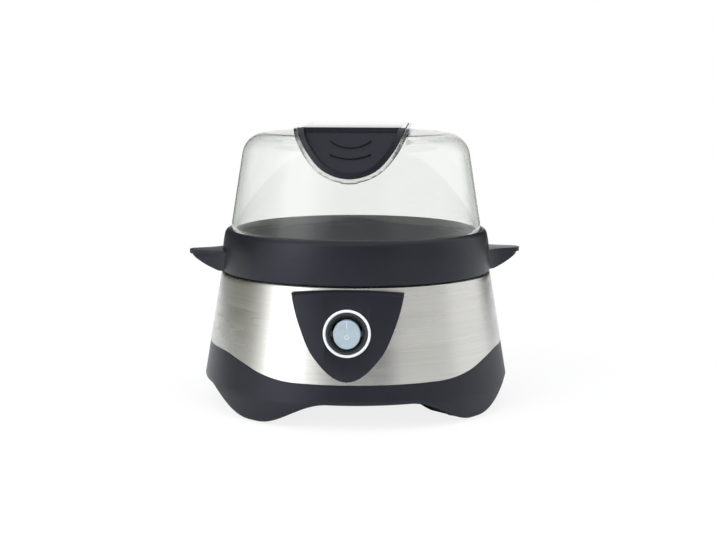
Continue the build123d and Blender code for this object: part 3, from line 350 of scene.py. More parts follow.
def soften(obj: bpy.types.Object, width: float, segments: int, angle: float) -> None:
    """Round an object's sharp edges.

    Args:
        obj: Object to soften.
        width: Width of the rounding.
        segments: Steps of the rounding.
        angle: Steepness in degrees from which an edge is rounded.
    """
    bm = bmesh.new()
    bm.from_mesh(obj.data)
    bmesh.ops.remove_doubles(bm, verts=bm.verts[:], dist=8e-6)
    bmesh.ops.dissolve_degenerate(bm, dist=6e-6, edges=bm.edges[:])
    bm.to_mesh(obj.data)
    bm.free()
    step = obj.modifiers.new("soft edges", "BEVEL")
    step.width = width * MM
    step.segments = segments
    step.limit_method = "ANGLE"
    step.angle_limit = math.radians(angle)
    step.use_clamp_overlap = True
    step.miter_outer = "MITER_ARC"
    freeze(obj)
    shade(obj)


def merge(name: str, parts: Sequence[bpy.types.Object]) -> bpy.types.Object:
    """Make one object of several.

    Args:
        name: Name of the piece.
        parts: Objects to merge.

    Returns:
        The merged object.
    """
    bm = bmesh.new()
    for part in parts:
        bm.from_mesh(part.data)
        bpy.data.objects.remove(part)
    return shade(new_object(name, bm))


def place_round(angle: float, radius: float) -> Matrix:
    """Matrix that carries the middle to a place at an angle, in radians, and a radius."""
    return Matrix.Translation(Vector((math.cos(angle), math.sin(angle), 0)) * radius * MM)


# Finishes


class Graph:
    """Short way of adding and joining nodes in one node tree."""

    def __init__(self, tree: bpy.types.NodeTree) -> None:
        """Take the tree of a material, a group or the world."""
        self.tree = tree

    def add(self, kind: str, inputs: Optional[dict] = None, **settings: object) -> bpy.types.Node:
        """Add a node, set its values and link its inputs.

        Args:
            kind: Node type.
            inputs: Value or output socket for each input, by name or number.
            settings: Attributes of the node.

        Returns:
            The new node.
        """
        node = self.tree.nodes.new(kind)
        for key, value in settings.items():
            setattr(node, key, value)
        for key, value in (inputs or {}).items():
            if isinstance(value, Socket):
                self.tree.links.new(value, node.inputs[key])
            else:
                node.inputs[key].default_value = value
        return node

    def maths(self, operation: str, first: object, second: object = 0.0) -> Socket:
        """Output of a Math node.

        Args:
            operation: Name of the operation.
            first: First value or socket.
            second: Second value or socket.

        Returns:
            The result's socket.
        """
        return self.add("ShaderNodeMath", {0: first, 1: second}, operation=operation).outputs[0]

    def noise(self, place: Socket, scale: object, detail: float, roughness: float = 0.5) -> Socket:
        """Output of a Noise Texture node.

        Args:
            place: Coordinates.
            scale: Scale or its socket.
            detail: Number of finer layers.
            roughness: Share of the finer layers.

        Returns:
            The result's socket.
        """
        settings = {"Vector": place, "Scale": scale, "Detail": detail, "Roughness": roughness}
        return self.add("ShaderNodeTexNoise", settings).outputs[0]

    def ramp(self, value: Socket, low: float, high: float, low_to: float = 0.0, high_to: float = 1.0) -> Socket:
        """Output of a smooth Map Range node.

        Args:
            value: Socket to map.
            low: Value that maps to low_to.
            high: Value that maps to high_to.
            low_to: Lowest result.
            high_to: Highest result.

        Returns:
            The result's socket.
        """
        inputs = {0: value, 1: low, 2: high, 3: low_to, 4: high_to}
        return self.add("ShaderNodeMapRange", inputs, interpolation_type="SMOOTHSTEP").outputs[0]

    def mix_colour(self, factor: Socket, first: object, second: object) -> Socket:
        """Output of a colour Mix node.

        Args:
            factor: Share of the second colour.
            first: First colour or socket.
            second: Second colour or socket.

        Returns:
            The result's socket.
        """
        return self.add("ShaderNodeMix", {0: factor, 6: first, 7: second}, data_type="RGBA").outputs[2]


def new_group(name: str, inputs: dict[str, float]) -> tuple[bpy.types.NodeTree, Graph, dict]:
    """Start a shader node group that puts out Height, Gloss and Tone.

    Args:
        name: Name of the group.
        inputs: Name and first value of each number input.

    Returns:
        The group, a graph on it and its inputs' sockets by name.
    """
    group = bpy.data.node_groups.new(name, "ShaderNodeTree")
    group.interface.new_socket("Place", in_out="INPUT", socket_type="NodeSocketVector")
    for key, value in inputs.items():
        socket = group.interface.new_socket(key, in_out="INPUT", socket_type="NodeSocketFloat")
        socket.default_value = value
    for key in ("Height", "Gloss", "Tone"):
        group.interface.new_socket(key, in_out="OUTPUT", socket_type="NodeSocketFloat")
    graph = Graph(group)
    enter = graph.add("NodeGroupInput")
    return group, graph, {key: enter.outputs[key] for key in ("Place", *inputs)}


def end_group(graph: Graph, height: Socket, gloss: Socket, tone: Socket) -> None:
    """Join a group's three outputs.

    Args:
        graph: Graph of the group.
        height: Height of the relief.
        gloss: How the roughness varies.
        tone: How the colour varies.
    """
    graph.add("NodeGroupOutput", {"Height": height, "Gloss": gloss, "Tone": tone})


def moulded_grain() -> bpy.types.NodeTree:
    """Fine texture of a moulded face with faint flow and handling marks.

    Returns:
        The group.
    """
    group, graph, enter = new_group("moulded grain", {"Scale": 900.0, "Flow": 14.0})
    grain = graph.noise(enter["Place"], enter["Scale"], 2.0, 0.6)
    pits = graph.add("ShaderNodeTexVoronoi", {"Vector": enter["Place"], "Scale": enter["Scale"]})
    flow = graph.noise(enter["Place"], enter["Flow"], 4.0, 0.55)
    height = graph.maths("ADD", grain, graph.maths("MULTIPLY", pits.outputs["Distance"], 0.6))
    tone = graph.maths("ADD", graph.maths("MULTIPLY", grain, 0.4), graph.maths("MULTIPLY", flow, 0.6))
    end_group(graph, height, graph.ramp(flow, 0.3, 0.7), graph.ramp(tone, 0.35, 0.65))
    return group


def brush_lines() -> bpy.types.NodeTree:
    """Lines brushed round the Z axis, long and thin, in bundles.

    Returns:
        The group.
    """
    group, graph, enter = new_group("brush lines", {"Fineness": 2400.0, "Length": 1.2})
    parts = graph.add("ShaderNodeSeparateXYZ", {0: enter["Place"]})
    around = graph.maths("ARCTAN2", parts.outputs[0], parts.outputs[1])
    across = graph.maths("MULTIPLY", around, enter["Length"])
    halves = []
    for share in (1.0, 0.31):
        up = graph.maths("MULTIPLY", parts.outputs[2], graph.maths("MULTIPLY", enter["Fineness"], share))
        wound = graph.add("ShaderNodeCombineXYZ", {0: across, 1: up})
        halves.append(graph.maths("MULTIPLY", graph.noise(wound.outputs[0], 1.0, 2.0), 0.5))
    height = graph.maths("ADD", *halves)
    bundle_up = graph.maths("MULTIPLY", parts.outputs[2], 90.0)
    bundle_at = graph.add("ShaderNodeCombineXYZ", {0: around, 1: bundle_up})
    bundle = graph.noise(bundle_at.outputs[0], 1.0, 1.0)
    end_group(graph, height, graph.ramp(bundle, 0.3, 0.7), graph.ramp(height, 0.3, 0.7))
    return group


GRAIN = moulded_grain()
BRUSH = brush_lines()


def start_material(name: str) -> tuple[bpy.types.Material, Graph, Socket]:
    """Start a material with an empty tree and object coordinates.

    Args:
        name: Name of the material.

    Returns:
        The material, a graph on its tree and the coordinate socket.
    """
    material = bpy.data.materials.new(name)
    material.use_nodes = True
    material.node_tree.nodes.clear()
    graph = Graph(material.node_tree)
    return material, graph, graph.add("ShaderNodeTexCoord").outputs["Object"]


def end_material(graph: Graph, shader: bpy.types.Node) -> None:
    """Join a shader node to the material's output."""
    graph.add("ShaderNodeOutputMaterial", {0: shader.outputs[0]})


@dataclass(frozen=True)
class Finish:
    """Name and base colour of a finish, and what its kinds share.

    Attributes:
        name: Name of the finish.
        colour: Base colour, or tint of a clear finish.
    """

    name: str
    colour: Colour

    def begin(self, group: bpy.types.NodeTree, **values: float) -> tuple[bpy.types.Material, Graph, bpy.types.Node]:
        """Start the material with a shared effect.

        Args:
            group: Node group of the effect.
            values: Values of the effect's inputs.

        Returns:
            The material, a graph on its tree and the effect's node.
        """
        material, graph, place = start_material(self.name)
        return material, graph, graph.add("ShaderNodeGroup", {"Place": place, **values}, node_tree=group)

    def look(self, graph: Graph, effect: bpy.types.Node, contrast: float, roughness: Point) -> dict[str, Socket]:
        """Base colour and roughness that vary with the effect.

        Args:
            graph: Graph of the material.
            effect: The effect's node.
            contrast: How far the colour varies.
            roughness: Lowest and highest roughness.

        Returns:
            The shader's inputs.
        """
        low = tuple(c * (1 - contrast) for c in self.colour)
        high = tuple(min(1.0, c * (1 + contrast)) for c in self.colour)
        return {
            "Base Color": graph.mix_colour(effect.outputs["Tone"], (*low, 1), (*high, 1)),
            "Roughness": graph.ramp(effect.outputs["Gloss"], 0.0, 1.0, *roughness),
        }

    def relief(self, graph: Graph, effect: bpy.types.Node, strength: float, depth: float) -> dict[str, Socket]:
        """Normal that follows the effect's height.

        Args:
            graph: Graph of the material.
            effect: The effect's node.
            strength: Strength of the relief.
            depth: Its depth.

        Returns:
            The shader's input.
        """
        height = {"Strength": strength, "Distance": depth * MM, "Height": effect.outputs["Height"]}
        return {"Normal": graph.add("ShaderNodeBump", height).outputs[0]}


@dataclass(frozen=True)
class Moulded(Finish):
    """Moulded plastic or rubber with a fine grain.

    Attributes:
        roughness: Lowest and highest roughness.
        grain: Scale of the grain.
        depth: Depth of the grain.
        contrast: How far the colour varies.
        specular: Specular level.
        coat: Weight of the clear coat.
        coat_roughness: Roughness of the clear coat.
        subsurface: Weight of the light that goes into the surface.
        sheen: Colour of its reflections.
    """

    roughness: Point = (0.42, 0.55)
    grain: float = 900.0
    depth: float = 0.02
    contrast: float = 0.16
    specular: float = 0.5
    coat: float = 0.0
    coat_roughness: float = 0.1
    subsurface: float = 0.0
    sheen: Colour = (1.0, 1.0, 1.0)

    def make(self) -> bpy.types.Material:
        """Build the material.

        Returns:
            The new material.
        """
        material, graph, effect = self.begin(GRAIN, Scale=self.grain)
        shader = graph.add("ShaderNodeBsdfPrincipled", {
            **self.look(graph, effect, self.contrast, self.roughness), **self.relief(graph, effect, 0.6, self.depth),
            "Specular IOR Level": self.specular, "Coat Weight": self.coat, "Coat Roughness": self.coat_roughness,
            "Subsurface Weight": self.subsurface, "Subsurface Scale": 0.002, "Specular Tint": (*self.sheen, 1),
        })
        end_material(graph, shader)
        return material


@dataclass(frozen=True)
class Brushed(Finish):
    """Metal brushed round the Z axis.

    Attributes:
        roughness: Lowest and highest roughness.
        fineness: Fineness of the lines.
        length: How short the lines are; a smaller value draws them out.
        depth: Depth of the lines.
        anisotropy: How far the highlight is drawn out.
        contrast: How far the colour varies.
    """

    roughness: Point = (0.24, 0.34)
    fineness: float = 2400.0
    length: float = 1.2
    depth: float = 0.001
    anisotropy: float = 0.7
    contrast: float = 0.05

    def make(self) -> bpy.types.Material:
        """Build the material.

        Returns:
            The new material.
        """
        material, graph, effect = self.begin(BRUSH, Fineness=self.fineness, Length=self.length)
        tangent = graph.add("ShaderNodeTangent", direction_type="RADIAL", axis="Z")
        shader = graph.add("ShaderNodeBsdfPrincipled", {
            **self.look(graph, effect, self.contrast, self.roughness), **self.relief(graph, effect, 0.5, self.depth),
            "Metallic": 1.0, "Anisotropic": self.anisotropy, "Anisotropic Rotation": 0.25,
            "Tangent": tangent.outputs[0],
        })
        end_material(graph, shader)
        return material


@dataclass(frozen=True)
class PlainMetal(Finish):
    """Drawn, cast or plated metal with faint stains.

    Attributes:
        roughness: Lowest and highest roughness.
        grain: Scale of the grain.
        contrast: How far the colour varies.
    """

    roughness: Point = (0.25, 0.45)
    grain: float = 500.0
    contrast: float = 0.1

    def make(self) -> bpy.types.Material:
        """Build the material.

        Returns:
            The new material.
        """
        material, graph, effect = self.begin(GRAIN, Scale=self.grain)
        shader = graph.add("ShaderNodeBsdfPrincipled", {
            **self.look(graph, effect, self.contrast, self.roughness), **self.relief(graph, effect, 0.4, 0.01),
            "Metallic": 1.0,
        })
        end_material(graph, shader)
        return material


@dataclass(frozen=True)
class Clear(Finish):
    """Clear moulded plastic or glass.

    Attributes:
        index: Index of refraction.
        roughness: Lowest and highest roughness.
        edge: Colour of the painted shade where the surface is seen at a low angle, in place of dark surroundings seen
            through the wall.
    """

    index: float = 1.5
    roughness: Point = (0.01, 0.04)
    edge: Colour = (0.62, 0.67, 0.62)

    def make(self) -> bpy.types.Material:
        """Build the material.

        Returns:
            The new material.
        """
        material, graph, effect = self.begin(GRAIN, Scale=60.0)
        low = tuple(c * 0.985 for c in self.colour)
        plain = graph.mix_colour(effect.outputs["Tone"], (*low, 1), (*self.colour, 1))
        # Painted shade: at low angles the base colour turns to edge, standing in for dark surroundings seen through
        # the wall
        facing = graph.add("ShaderNodeLayerWeight", {"Blend": 0.5}).outputs["Facing"]
        shader = graph.add("ShaderNodeBsdfPrincipled", {
            "Base Color": graph.mix_colour(graph.ramp(facing, 0.55, 1.0), plain, (*self.edge, 1)),
            "Roughness": graph.ramp(effect.outputs["Gloss"], 0.0, 1.0, *self.roughness),
            "IOR": self.index, "Transmission Weight": 1.0,
        })
        see_through = graph.add("ShaderNodeBsdfTransparent", {0: (*self.colour, 1)})
        shadow = graph.add("ShaderNodeLightPath").outputs["Is Shadow Ray"]
        end_material(graph, graph.add("ShaderNodeMixShader", {0: shadow, 1: shader.outputs[0],
                                                              2: see_through.outputs[0]}))
        return material


# Every finish, named as the record's slots
FINISHES = (
    Clear("clear_plastic", (0.965, 0.975, 0.965), 1.5),
    Clear("clear_edge", (0.88, 0.87, 0.85), 1.42, (0.25, 0.35), (0.6, 0.58, 0.55)),
    Moulded("black_plastic", (0.0100, 0.0102, 0.0140), (0.34, 0.44), 900.0, 0.02, 0.16, 0.36,
            sheen=(0.82, 0.86, 1.0)),
    Moulded("polished_black", (0.0125, 0.0125, 0.0155), (0.12, 0.2), 900.0, 0.0, 0.1, 0.5, 1.0, 0.03),
    Brushed("brushed_steel", (0.66, 0.655, 0.63), (0.24, 0.3)),
    PlainMetal("zinc_steel", (0.6, 0.6, 0.57)),
    Moulded("rubber", (0.018, 0.018, 0.018), (0.7, 0.85), 700.0, 0.03),
    Moulded("soft_black", (0.017, 0.017, 0.019), (0.6, 0.75), 800.0, 0.02),
    Moulded("white_trim", (0.8, 0.8, 0.84), (0.12, 0.2), 300.0, 0.004, 0.02, 0.6, 0.6, 0.05),
    Moulded("gloss_black", (0.018, 0.019, 0.022), (0.3, 0.4), 600.0, 0.006),
    PlainMetal("brass", (0.78, 0.58, 0.28)),
    Moulded("rocker_blue_grey", (0.36, 0.44, 0.5), (0.22, 0.34), 500.0, 0.006, 0.05, 0.5, 0.3, 0.1, 0.1),
    Moulded("white_mark", (0.6, 0.66, 0.7), (0.4, 0.5), 900.0, 0.002, 0.03),
    Clear("lamp_glass", (0.95, 0.75, 0.55), 1.5),
    Brushed("pan_steel", (0.6, 0.59, 0.56), (0.16, 0.26), 3000.0, 5.0, 0.002, 0.4, 0.05),
    PlainMetal("aluminium", (0.68, 0.69, 0.7), (0.3, 0.5)),
    PlainMetal("element_steel", (0.14, 0.15, 0.14), (0.4, 0.6)),
    Moulded("phenolic", (0.09, 0.05, 0.03), (0.35, 0.5), 400.0),
    Moulded("ceramic_sleeve", (0.78, 0.76, 0.7), (0.5, 0.7), 300.0, 0.02, 0.06),
    Moulded("white_nylon", (0.72, 0.72, 0.68), (0.4, 0.55), 500.0, 0.01, 0.05),
    Moulded("wire_black", (0.016, 0.016, 0.017), (0.35, 0.5), 1200.0, 0.01),
    Moulded("wire_blue", (0.03, 0.09, 0.32), (0.35, 0.5), 1200.0, 0.01),
)


class Shop:
    """Puts finished pieces on their bodies and keeps the made materials."""

    def __init__(self) -> None:
        """Make each finish's material."""
        self.materials = {finish.name: finish.make() for finish in FINISHES}

    def dress(self, obj: bpy.types.Object, slot: str) -> None:
        """Give an object one material.

        Args:
            obj: Object to dress.
            slot: Slot of the finish.
        """
        obj.data.materials.clear()
        obj.data.materials.append(self.materials[slot])

    def place(self, obj: bpy.types.Object, body: Body, slot: str, *nodes: str) -> bpy.types.Object:
        """Dress a new piece, set it on its body and let it stand for CAD nodes.

        Args:
            obj: The new piece.
            body: Body it rides on.
            slot: Slot of its finish.
            nodes: CAD nodes that it stands for.

        Returns:
            The piece.
        """
        self.dress(obj, slot)
        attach(obj, body.value)
        if nodes:
            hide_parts(*nodes)
        log.info("%s: %d faces on %s", obj.name, len(obj.data.polygons), body.value)
        return obj

    def redress_where(self, obj: bpy.types.Object, slot: str,
                      test: Callable[[bpy.types.MeshPolygon], bool]) -> None:
        """Give the faces that pass a test a second material.

        Args:
            obj: Object with one material.
            slot: Slot of the second finish.
            test: Says whether a face gets it.
        """
        obj.data.materials.append(self.materials[slot])
        for face in obj.data.polygons:
            if test(face):
                face.material_index = 1

    def dress_frame(self) -> None:
        """Give every CAD node the material of its record slot."""
        for row in frame["record"]["subparts"]:
            self.dress(frame["nodes"][row["node"]], row["material_slot"])


@dataclass
class Assembly:
    """Pieces that are built together and put in place by one shop."""

    shop: Shop


# Shared shapes of the body


@dataclass(frozen=True)
class Cone:
    """Outer cone of the body.

    Attributes:
        low_radius: Radius at the lower rim.
        low_z: Height of the lower rim.
        slope: Change of radius with height.
    """

    low_radius: float = 92.9
    low_z: float = 14.4
    slope: float = 0.168

    def radius(self, z: float) -> float:
        """Radius at height z."""
        return self.low_radius - self.slope * (z - self.low_z)


@dataclass(frozen=True)
class Seam:
    """Wavy seam between steel and skirt; it follows the stance, not the front.

    Attributes:
        stance: Turn of the feet in degrees.
        low_z: Height in front and behind.
        high_z: Height at the sides.
        middle: Half width of the level stretch.
        side: Distance across at which the seam is highest.
    """

    stance: float = 8.0
    low_z: float = 26.0
    high_z: float = 37.0
    middle: float = 40.5
    side: float = 84.0

    def path(self) -> list[Point]:
        """Points of the rising stretch, across and up."""
        points = [(self.middle, self.low_z), (62.0, 29.4), (72.0, 33.5), (self.side, self.high_z)]
        return smooth_path(points, (1, 0), (1, 0), 16)

    def across(self, x: float, y: float) -> float:
        """Distance from the stance plane's middle, always positive."""
        turn = math.radians(self.stance)
        return abs(x * math.cos(turn) + y * math.sin(turn))

    def height(self, x: float, y: float, path: Sequence[Point]) -> float:
        """Height of the seam over a point.

        Args:
            x: X of the point.
            y: Y of the point.
            path: Points of the rising stretch.

        Returns:
            The height.
        """
        across = self.across(x, y)
        if across <= path[0][0]:
            return path[0][1]
        for (a, low), (b, high) in zip(path, path[1:]):
            if across <= b:
                return low + (high - low) * (across - a) / (b - a)
        return path[-1][1]


@dataclass(frozen=True)
class SwitchFace:
    """Plane of the switch's face and the round sizes that the panel and the shell need.

    Attributes:
        face_z: Height of the face's centre.
        proud: How far the face stands out from the cone.
        tilt: Backward tilt of the face in degrees.
    """

    face_z: float = 55.0
    proud: float = 3.0
    tilt: float = 7.0
    bezel_radius: float = 11.5
    trim_radius: float = 13.4
    barrel_radius: float = 9.9

    def centre(self, out: float = 0.0) -> Vector:
        """Point on the switch's axis.

        Args:
            out: Distance out from the face.

        Returns:
            The point.
        """
        tilt = math.radians(self.tilt)
        face_y = -(CONE.radius(self.face_z) + self.proud)
        return Vector((0, face_y - out * math.cos(tilt), self.face_z + out * math.sin(tilt)))

    def frame(self, out: float = 0.0, tilt: Optional[float] = None) -> Matrix:
        """Matrix that carries Z to the switch's axis and Y to its upward side.

        Args:
            out: Distance out from the face.
            tilt: Tilt in degrees, or None for the face's own.

        Returns:
            The matrix, in metres.
        """
        angle = math.radians(self.tilt if tilt is None else tilt)
        axis = Vector((0, -math.cos(angle), math.sin(angle)))
        up = Vector((0, math.sin(angle), math.cos(angle)))
        turn = Matrix((Vector((1, 0, 0)), up, axis)).transposed().to_4x4()
        return Matrix.Translation(self.centre(out) * MM) @ turn

    def hole(self, radius: float, low: float, high: float) -> bpy.types.Object:
        """Round tool along the switch's axis, between two distances out from the face."""
        return plug("switch_hole", radius, low, high, 96, self.frame())


CONE = Cone()
SEAM = Seam()
SWITCH = SwitchFace()


@dataclass
class BaseShell(Assembly):
    """Brushed steel shell, black skirt with four foot lobes, and the pads under them.

    Attributes:
        shell_top_z: Height of the shell's top.
        mouth_radius: Radius of the opening in the shell's top.
        sheet: Thickness of the steel.
        shell_rows: Rows of the shell's wall.
        wall: Thickness of the skirt.
        lip_z: Height of the skirt's upper edge, behind the steel.
        lip: Distance of that edge from the outer cone.
        sole_z: Height of the lobes over the table.
        sole_radius: Outer radius of the lobes' soles.
        inner_radius: Inner radius of the lobes.
        lobe_angle: Half angle of a lobe in degrees.
        flat_angle: Half angle of a lobe's level sole in degrees.
        floor_top_z: Height of the skirt's floor inside.
        cover_radius: Radius of the floor's inner edge until it is drawn onto the lobes' inner side.
        rows: Rows of the skirt's wall.
        rim: Rounding of the skirt's lower edge.
        rim_steps: Steps of that rounding.
        still_share: Share of the shell's height, from the top, that isn't drawn to the seam.
        seam_gap: Half of the gap between steel and skirt.
        wall_mark: Height at which the section's wall rows stand until they are drawn in place.
        rim_mark: The same for the rows of the rounded lower edge.
        inner_mark: The same for the rows of the lobes' inner side.
        pad_circle: Radius of the circle on which the pads stand.
    """

    shell_top_z: float = 79.5
    mouth_radius: float = 75.5
    sheet: float = 0.7
    shell_rows: int = 16
    still_share: float = 0.06
    seam_gap: float = 0.08
    wall: float = 3.4
    lip_z: float = 42.0
    lip: float = 1.0
    floor_top_z: float = 17.0
    sole_z: float = 0.8
    sole_radius: float = 91.5
    inner_radius: float = 67.0
    lobe_angle: float = 30.0
    flat_angle: float = 2.0
    cover_radius: float = 63.9
    rows: int = 14
    rim: float = 2.2
    rim_steps: int = 6
    wall_mark: float = 100.0
    rim_mark: float = 50.0
    inner_mark: float = 30.0
    pad_circle: float = 77.0

    def build_shell(self) -> None:
        """Spin the steel sheet, draw its lower edge to the seam and cut the switch's hole."""
        path = SEAM.path()
        top_z, low_z, sheet, rows = self.shell_top_z, SEAM.low_z, self.sheet, self.shell_rows
        levels = [top_z + (low_z - top_z) * n / rows for n in range(1, rows + 1)]
        inner_top = top_z - sheet
        profile = [
            (self.mouth_radius, top_z, 0.0), (CONE.radius(top_z), top_z, 0.9),
            *((CONE.radius(z), z, 0.0) for z in levels),
            *((CONE.radius(z) - sheet, z, 0.0) for z in reversed(levels)),
            (CONE.radius(inner_top) - sheet, inner_top, 0.5), (self.mouth_radius, inner_top, 0.0),
        ]
        shell = turned("steel_shell_skin", profile, 240)
        span = top_z - low_z
        for vert in shell.data.vertices:
            z = vert.co.z / MM
            drop = max(0.0, (top_z - z) / span)
            if drop <= self.still_share:
                continue
            inner = math.hypot(vert.co.x, vert.co.y) / MM - CONE.radius(z)
            aim = SEAM.height(vert.co.x / MM, vert.co.y / MM, path) + self.seam_gap
            new_z = z + (aim - low_z) * (drop - self.still_share) / (1 - self.still_share)
            scale = (CONE.radius(new_z) + inner) * MM / math.hypot(vert.co.x, vert.co.y)
            vert.co = Vector((vert.co.x * scale, vert.co.y * scale, new_z * MM))
        carve(shell, [SWITCH.hole(SWITCH.bezel_radius, -30.0, 8.0)], Cut.AWAY)
        shade(shell)
        self.shop.place(shell, Body.BASE, "brushed_steel", "steel_shell")

    def lower_edge(self, x: float, y: float) -> float:
        """Height of the skirt's lower edge over a point.

        Args:
            x: X of the point.
            y: Y of the point.

        Returns:
            The height.
        """
        angle = (math.degrees(math.atan2(y, x)) - SEAM.stance - 45.0) % 90.0
        away = (min(angle, 90.0 - angle) - self.flat_angle) / (self.lobe_angle - self.flat_angle)
        rise = (1 - math.cos(math.pi * min(1.0, max(0.0, away)))) / 2
        return self.sole_z + (CONE.low_z - self.sole_z) * rise

    def outer_radius(self, z: float) -> float:
        """Radius of the skirt's outside at a height; it draws in below the rim.

        Args:
            z: The height.

        Returns:
            The radius.
        """
        if z >= CONE.low_z:
            return CONE.radius(z)
        share = (CONE.low_z - z) / CONE.low_z
        return CONE.low_radius - (CONE.low_radius - self.sole_radius) * (0.1 * share + 0.9 * share ** 4)

    def skirt_section(self) -> list[Corner]:
        """Closed section of the skirt, with the rows that are drawn later at their marks.

        Returns:
            Radius, height and corner setback of each point.
        """
        mark, lip_z, floor_z, floor_top = self.wall_mark, self.lip_z, CONE.low_z, self.floor_top_z
        return [
            *((mark, mark - n, 0.0) for n in range(self.rows + 1)),
            *((mark, self.rim_mark - n, 0.0) for n in range(1, self.rim_steps + 1)),
            *((self.inner_radius - 0.01 * n, self.inner_mark - n, 0.0) for n in range(3)),
            (self.cover_radius, floor_z - 0.6, 0.0), (self.cover_radius, floor_top, 0.0),
            (CONE.radius(floor_top) - self.wall, floor_top + 0.1, 0.0), (CONE.radius(lip_z) - self.wall, lip_z, 0.0),
            (CONE.radius(lip_z) - self.lip, lip_z, 0.0), (mark - 2.0, mark + 1.0, 0.0),
        ]

    def skirt_point(self, r: float, z: float, seam: float, edge: float) -> Optional[Point]:
        """Place of a point of the skirt's section, once it is drawn.

        Args:
            r: Its marked radius.
            z: Its marked height.
            seam: Height of the seam there.
            edge: Height of the lower edge there.

        Returns:
            Radius and height, or None where the point stays.
        """
        if z > self.wall_mark - 0.1 and r < self.wall_mark - 1.0:
            return CONE.radius(seam) - 0.95, seam
        if z > self.wall_mark - self.rows - 6.0:
            share = (self.wall_mark - z) / self.rows
            new_z = seam + (edge + self.rim - seam) * share
            return self.outer_radius(new_z), new_z
        if z > self.rim_mark - self.rim_steps - 1.0:
            turn = RIGHT_ANGLE * (self.rim_mark - z) / self.rim_steps
            radius = self.outer_radius(edge + self.rim) - self.rim * (1 - math.cos(turn))
            return radius, edge + self.rim * (1 - math.sin(turn))
        # The floor's inner edge is drawn onto the lobes' inner side, like the rows there
        if r < self.inner_radius + 0.5:
            share = min(1.0, (self.inner_mark - z) / 2)
            return self.inner_radius, edge + (CONE.low_z - edge) * share
        return None

    def build_skirt(self) -> None:
        """Spin the skirt and draw its rim down into the four lobes."""
        path = SEAM.path()
        middle_radius = 90.0
        skirt = turned("skirt_with_feet", self.skirt_section(), 288)
        for vert in skirt.data.vertices:
            r, z = math.hypot(vert.co.x, vert.co.y) / MM, vert.co.z / MM
            ux, uy = vert.co.x / (r * MM), vert.co.y / (r * MM)
            x, y = ux * middle_radius, uy * middle_radius
            drawn_to = self.skirt_point(r, z, SEAM.height(x, y, path) - self.seam_gap, self.lower_edge(x, y))
            if drawn_to:
                new_r, new_z = drawn_to
                vert.co = Vector((ux * new_r * MM, uy * new_r * MM, new_z * MM))
        skirt.data.update()
        shade(skirt, math.radians(50.0))
        self.shop.place(skirt, Body.BASE, "black_plastic", "base_skirt")

    def build_pads(self) -> None:
        """Four rubber pads with rounded rims under the lobes."""
        section = [(0, 0, 0), (5.4, 0, 0.6), (5.5, 2.2, 0), (0, 2.2, 0)]
        pads = []
        for n in range(4):
            angle = math.radians(SEAM.stance + 45.0 + 90.0 * n)
            pads.append(turned(f"pad_{n}", section, 40, place_round(angle, self.pad_circle)))
        self.shop.place(merge("rubber_pads", pads), Body.BASE, "rubber", "foot_pads")

    def build(self) -> None:
        """Build every piece of the base's outside."""
        self.build_shell()
        self.build_skirt()
        self.build_pads()


@dataclass
class Panel(Assembly):
    """Black shield that carries the switch, with a slanted ledge on top."""

    half_width: float = 31.6
    tip_z: float = 28.1
    corner_z: float = 76.6
    crown_z: float = 78.6
    ledge: float = 2.4
    ledge_middle: float = 0.8
    ledge_front: float = -85.0
    ledge_slope: float = 0.5
    horn: float = 1.6
    face_radius: float = 130.0

    def arch(self, half: float, low_z: float, rise: float, steps: int) -> list[Point]:
        """Points of a low arch, from left to right.

        Args:
            half: Half of its span.
            low_z: Height of its ends.
            rise: How far its middle is higher.
            steps: Number of steps.

        Returns:
            X and Z of each point.
        """
        places = [-half + 2 * half * n / steps for n in range(steps + 1)]
        return [(x, low_z + rise * (1 - (x / half) ** 2)) for x in places]

    def outline(self) -> list[Point]:
        """Closed outline of the shield.

        Returns:
            X and Z of each point.
        """
        side = [(self.half_width, self.corner_z), (26.4, 57.0), (18.8, 41.4), (0, self.tip_z)]
        down = smooth_path(side + mirrored(side[:-1]), (-0.14, -1), (-0.14, 1), 14)
        return down + self.arch(self.half_width, self.corner_z, self.crown_z - self.corner_z, 16)[1:-1]

    def ledge_cut(self) -> bpy.types.Object:
        """Tool that slants the shield's top; its front edge is arched between the two corners.

        Returns:
            The tool.
        """
        half, low_z, clear_z = self.half_width - self.horn, self.corner_z - self.ledge, self.crown_z + 20.0
        outline = self.arch(half, low_z, self.crown_z - self.ledge_middle - low_z, 24)
        tool = prism("ledge_cut", outline + [(half, clear_z), (-half, clear_z)], -100.0, -70.0)
        for vert in tool.data.vertices:
            vert.co.z += (vert.co.y - self.ledge_front * MM) * self.ledge_slope
        return tool

    def build(self) -> None:
        """Cut the shield from a curved slab and soften its edges."""
        shield = prism("shield_panel", self.outline(), -105.0, -66.0)
        face_axis = SWITCH.frame(-self.face_radius) @ Matrix.Rotation(-RIGHT_ANGLE, 4, "X")
        slab = plug("face_slab", self.face_radius, -70, 70, 360, face_axis)
        carve(shield, [slab], Cut.COMMON)
        carve(shield, [self.ledge_cut()], Cut.AWAY)
        low_z, high_z, inset = 10.0, 90.0, 0.05
        core = turned("cone_core", [(0, low_z, 0), (CONE.radius(low_z) - inset, low_z, 0),
                                    (CONE.radius(high_z) - inset, high_z, 0), (0, high_z, 0)], 360)
        seat = SWITCH.hole(SWITCH.trim_radius + 0.1, -0.6, 10.0)
        hole = SWITCH.hole(SWITCH.barrel_radius + 0.15, -30.0, 10.0)
        carve(shield, [core, seat, hole], Cut.AWAY)
        soften(shield, 0.55, 3, 40.0)
        self.shop.place(shield, Body.BASE, "black_plastic", "control_panel")


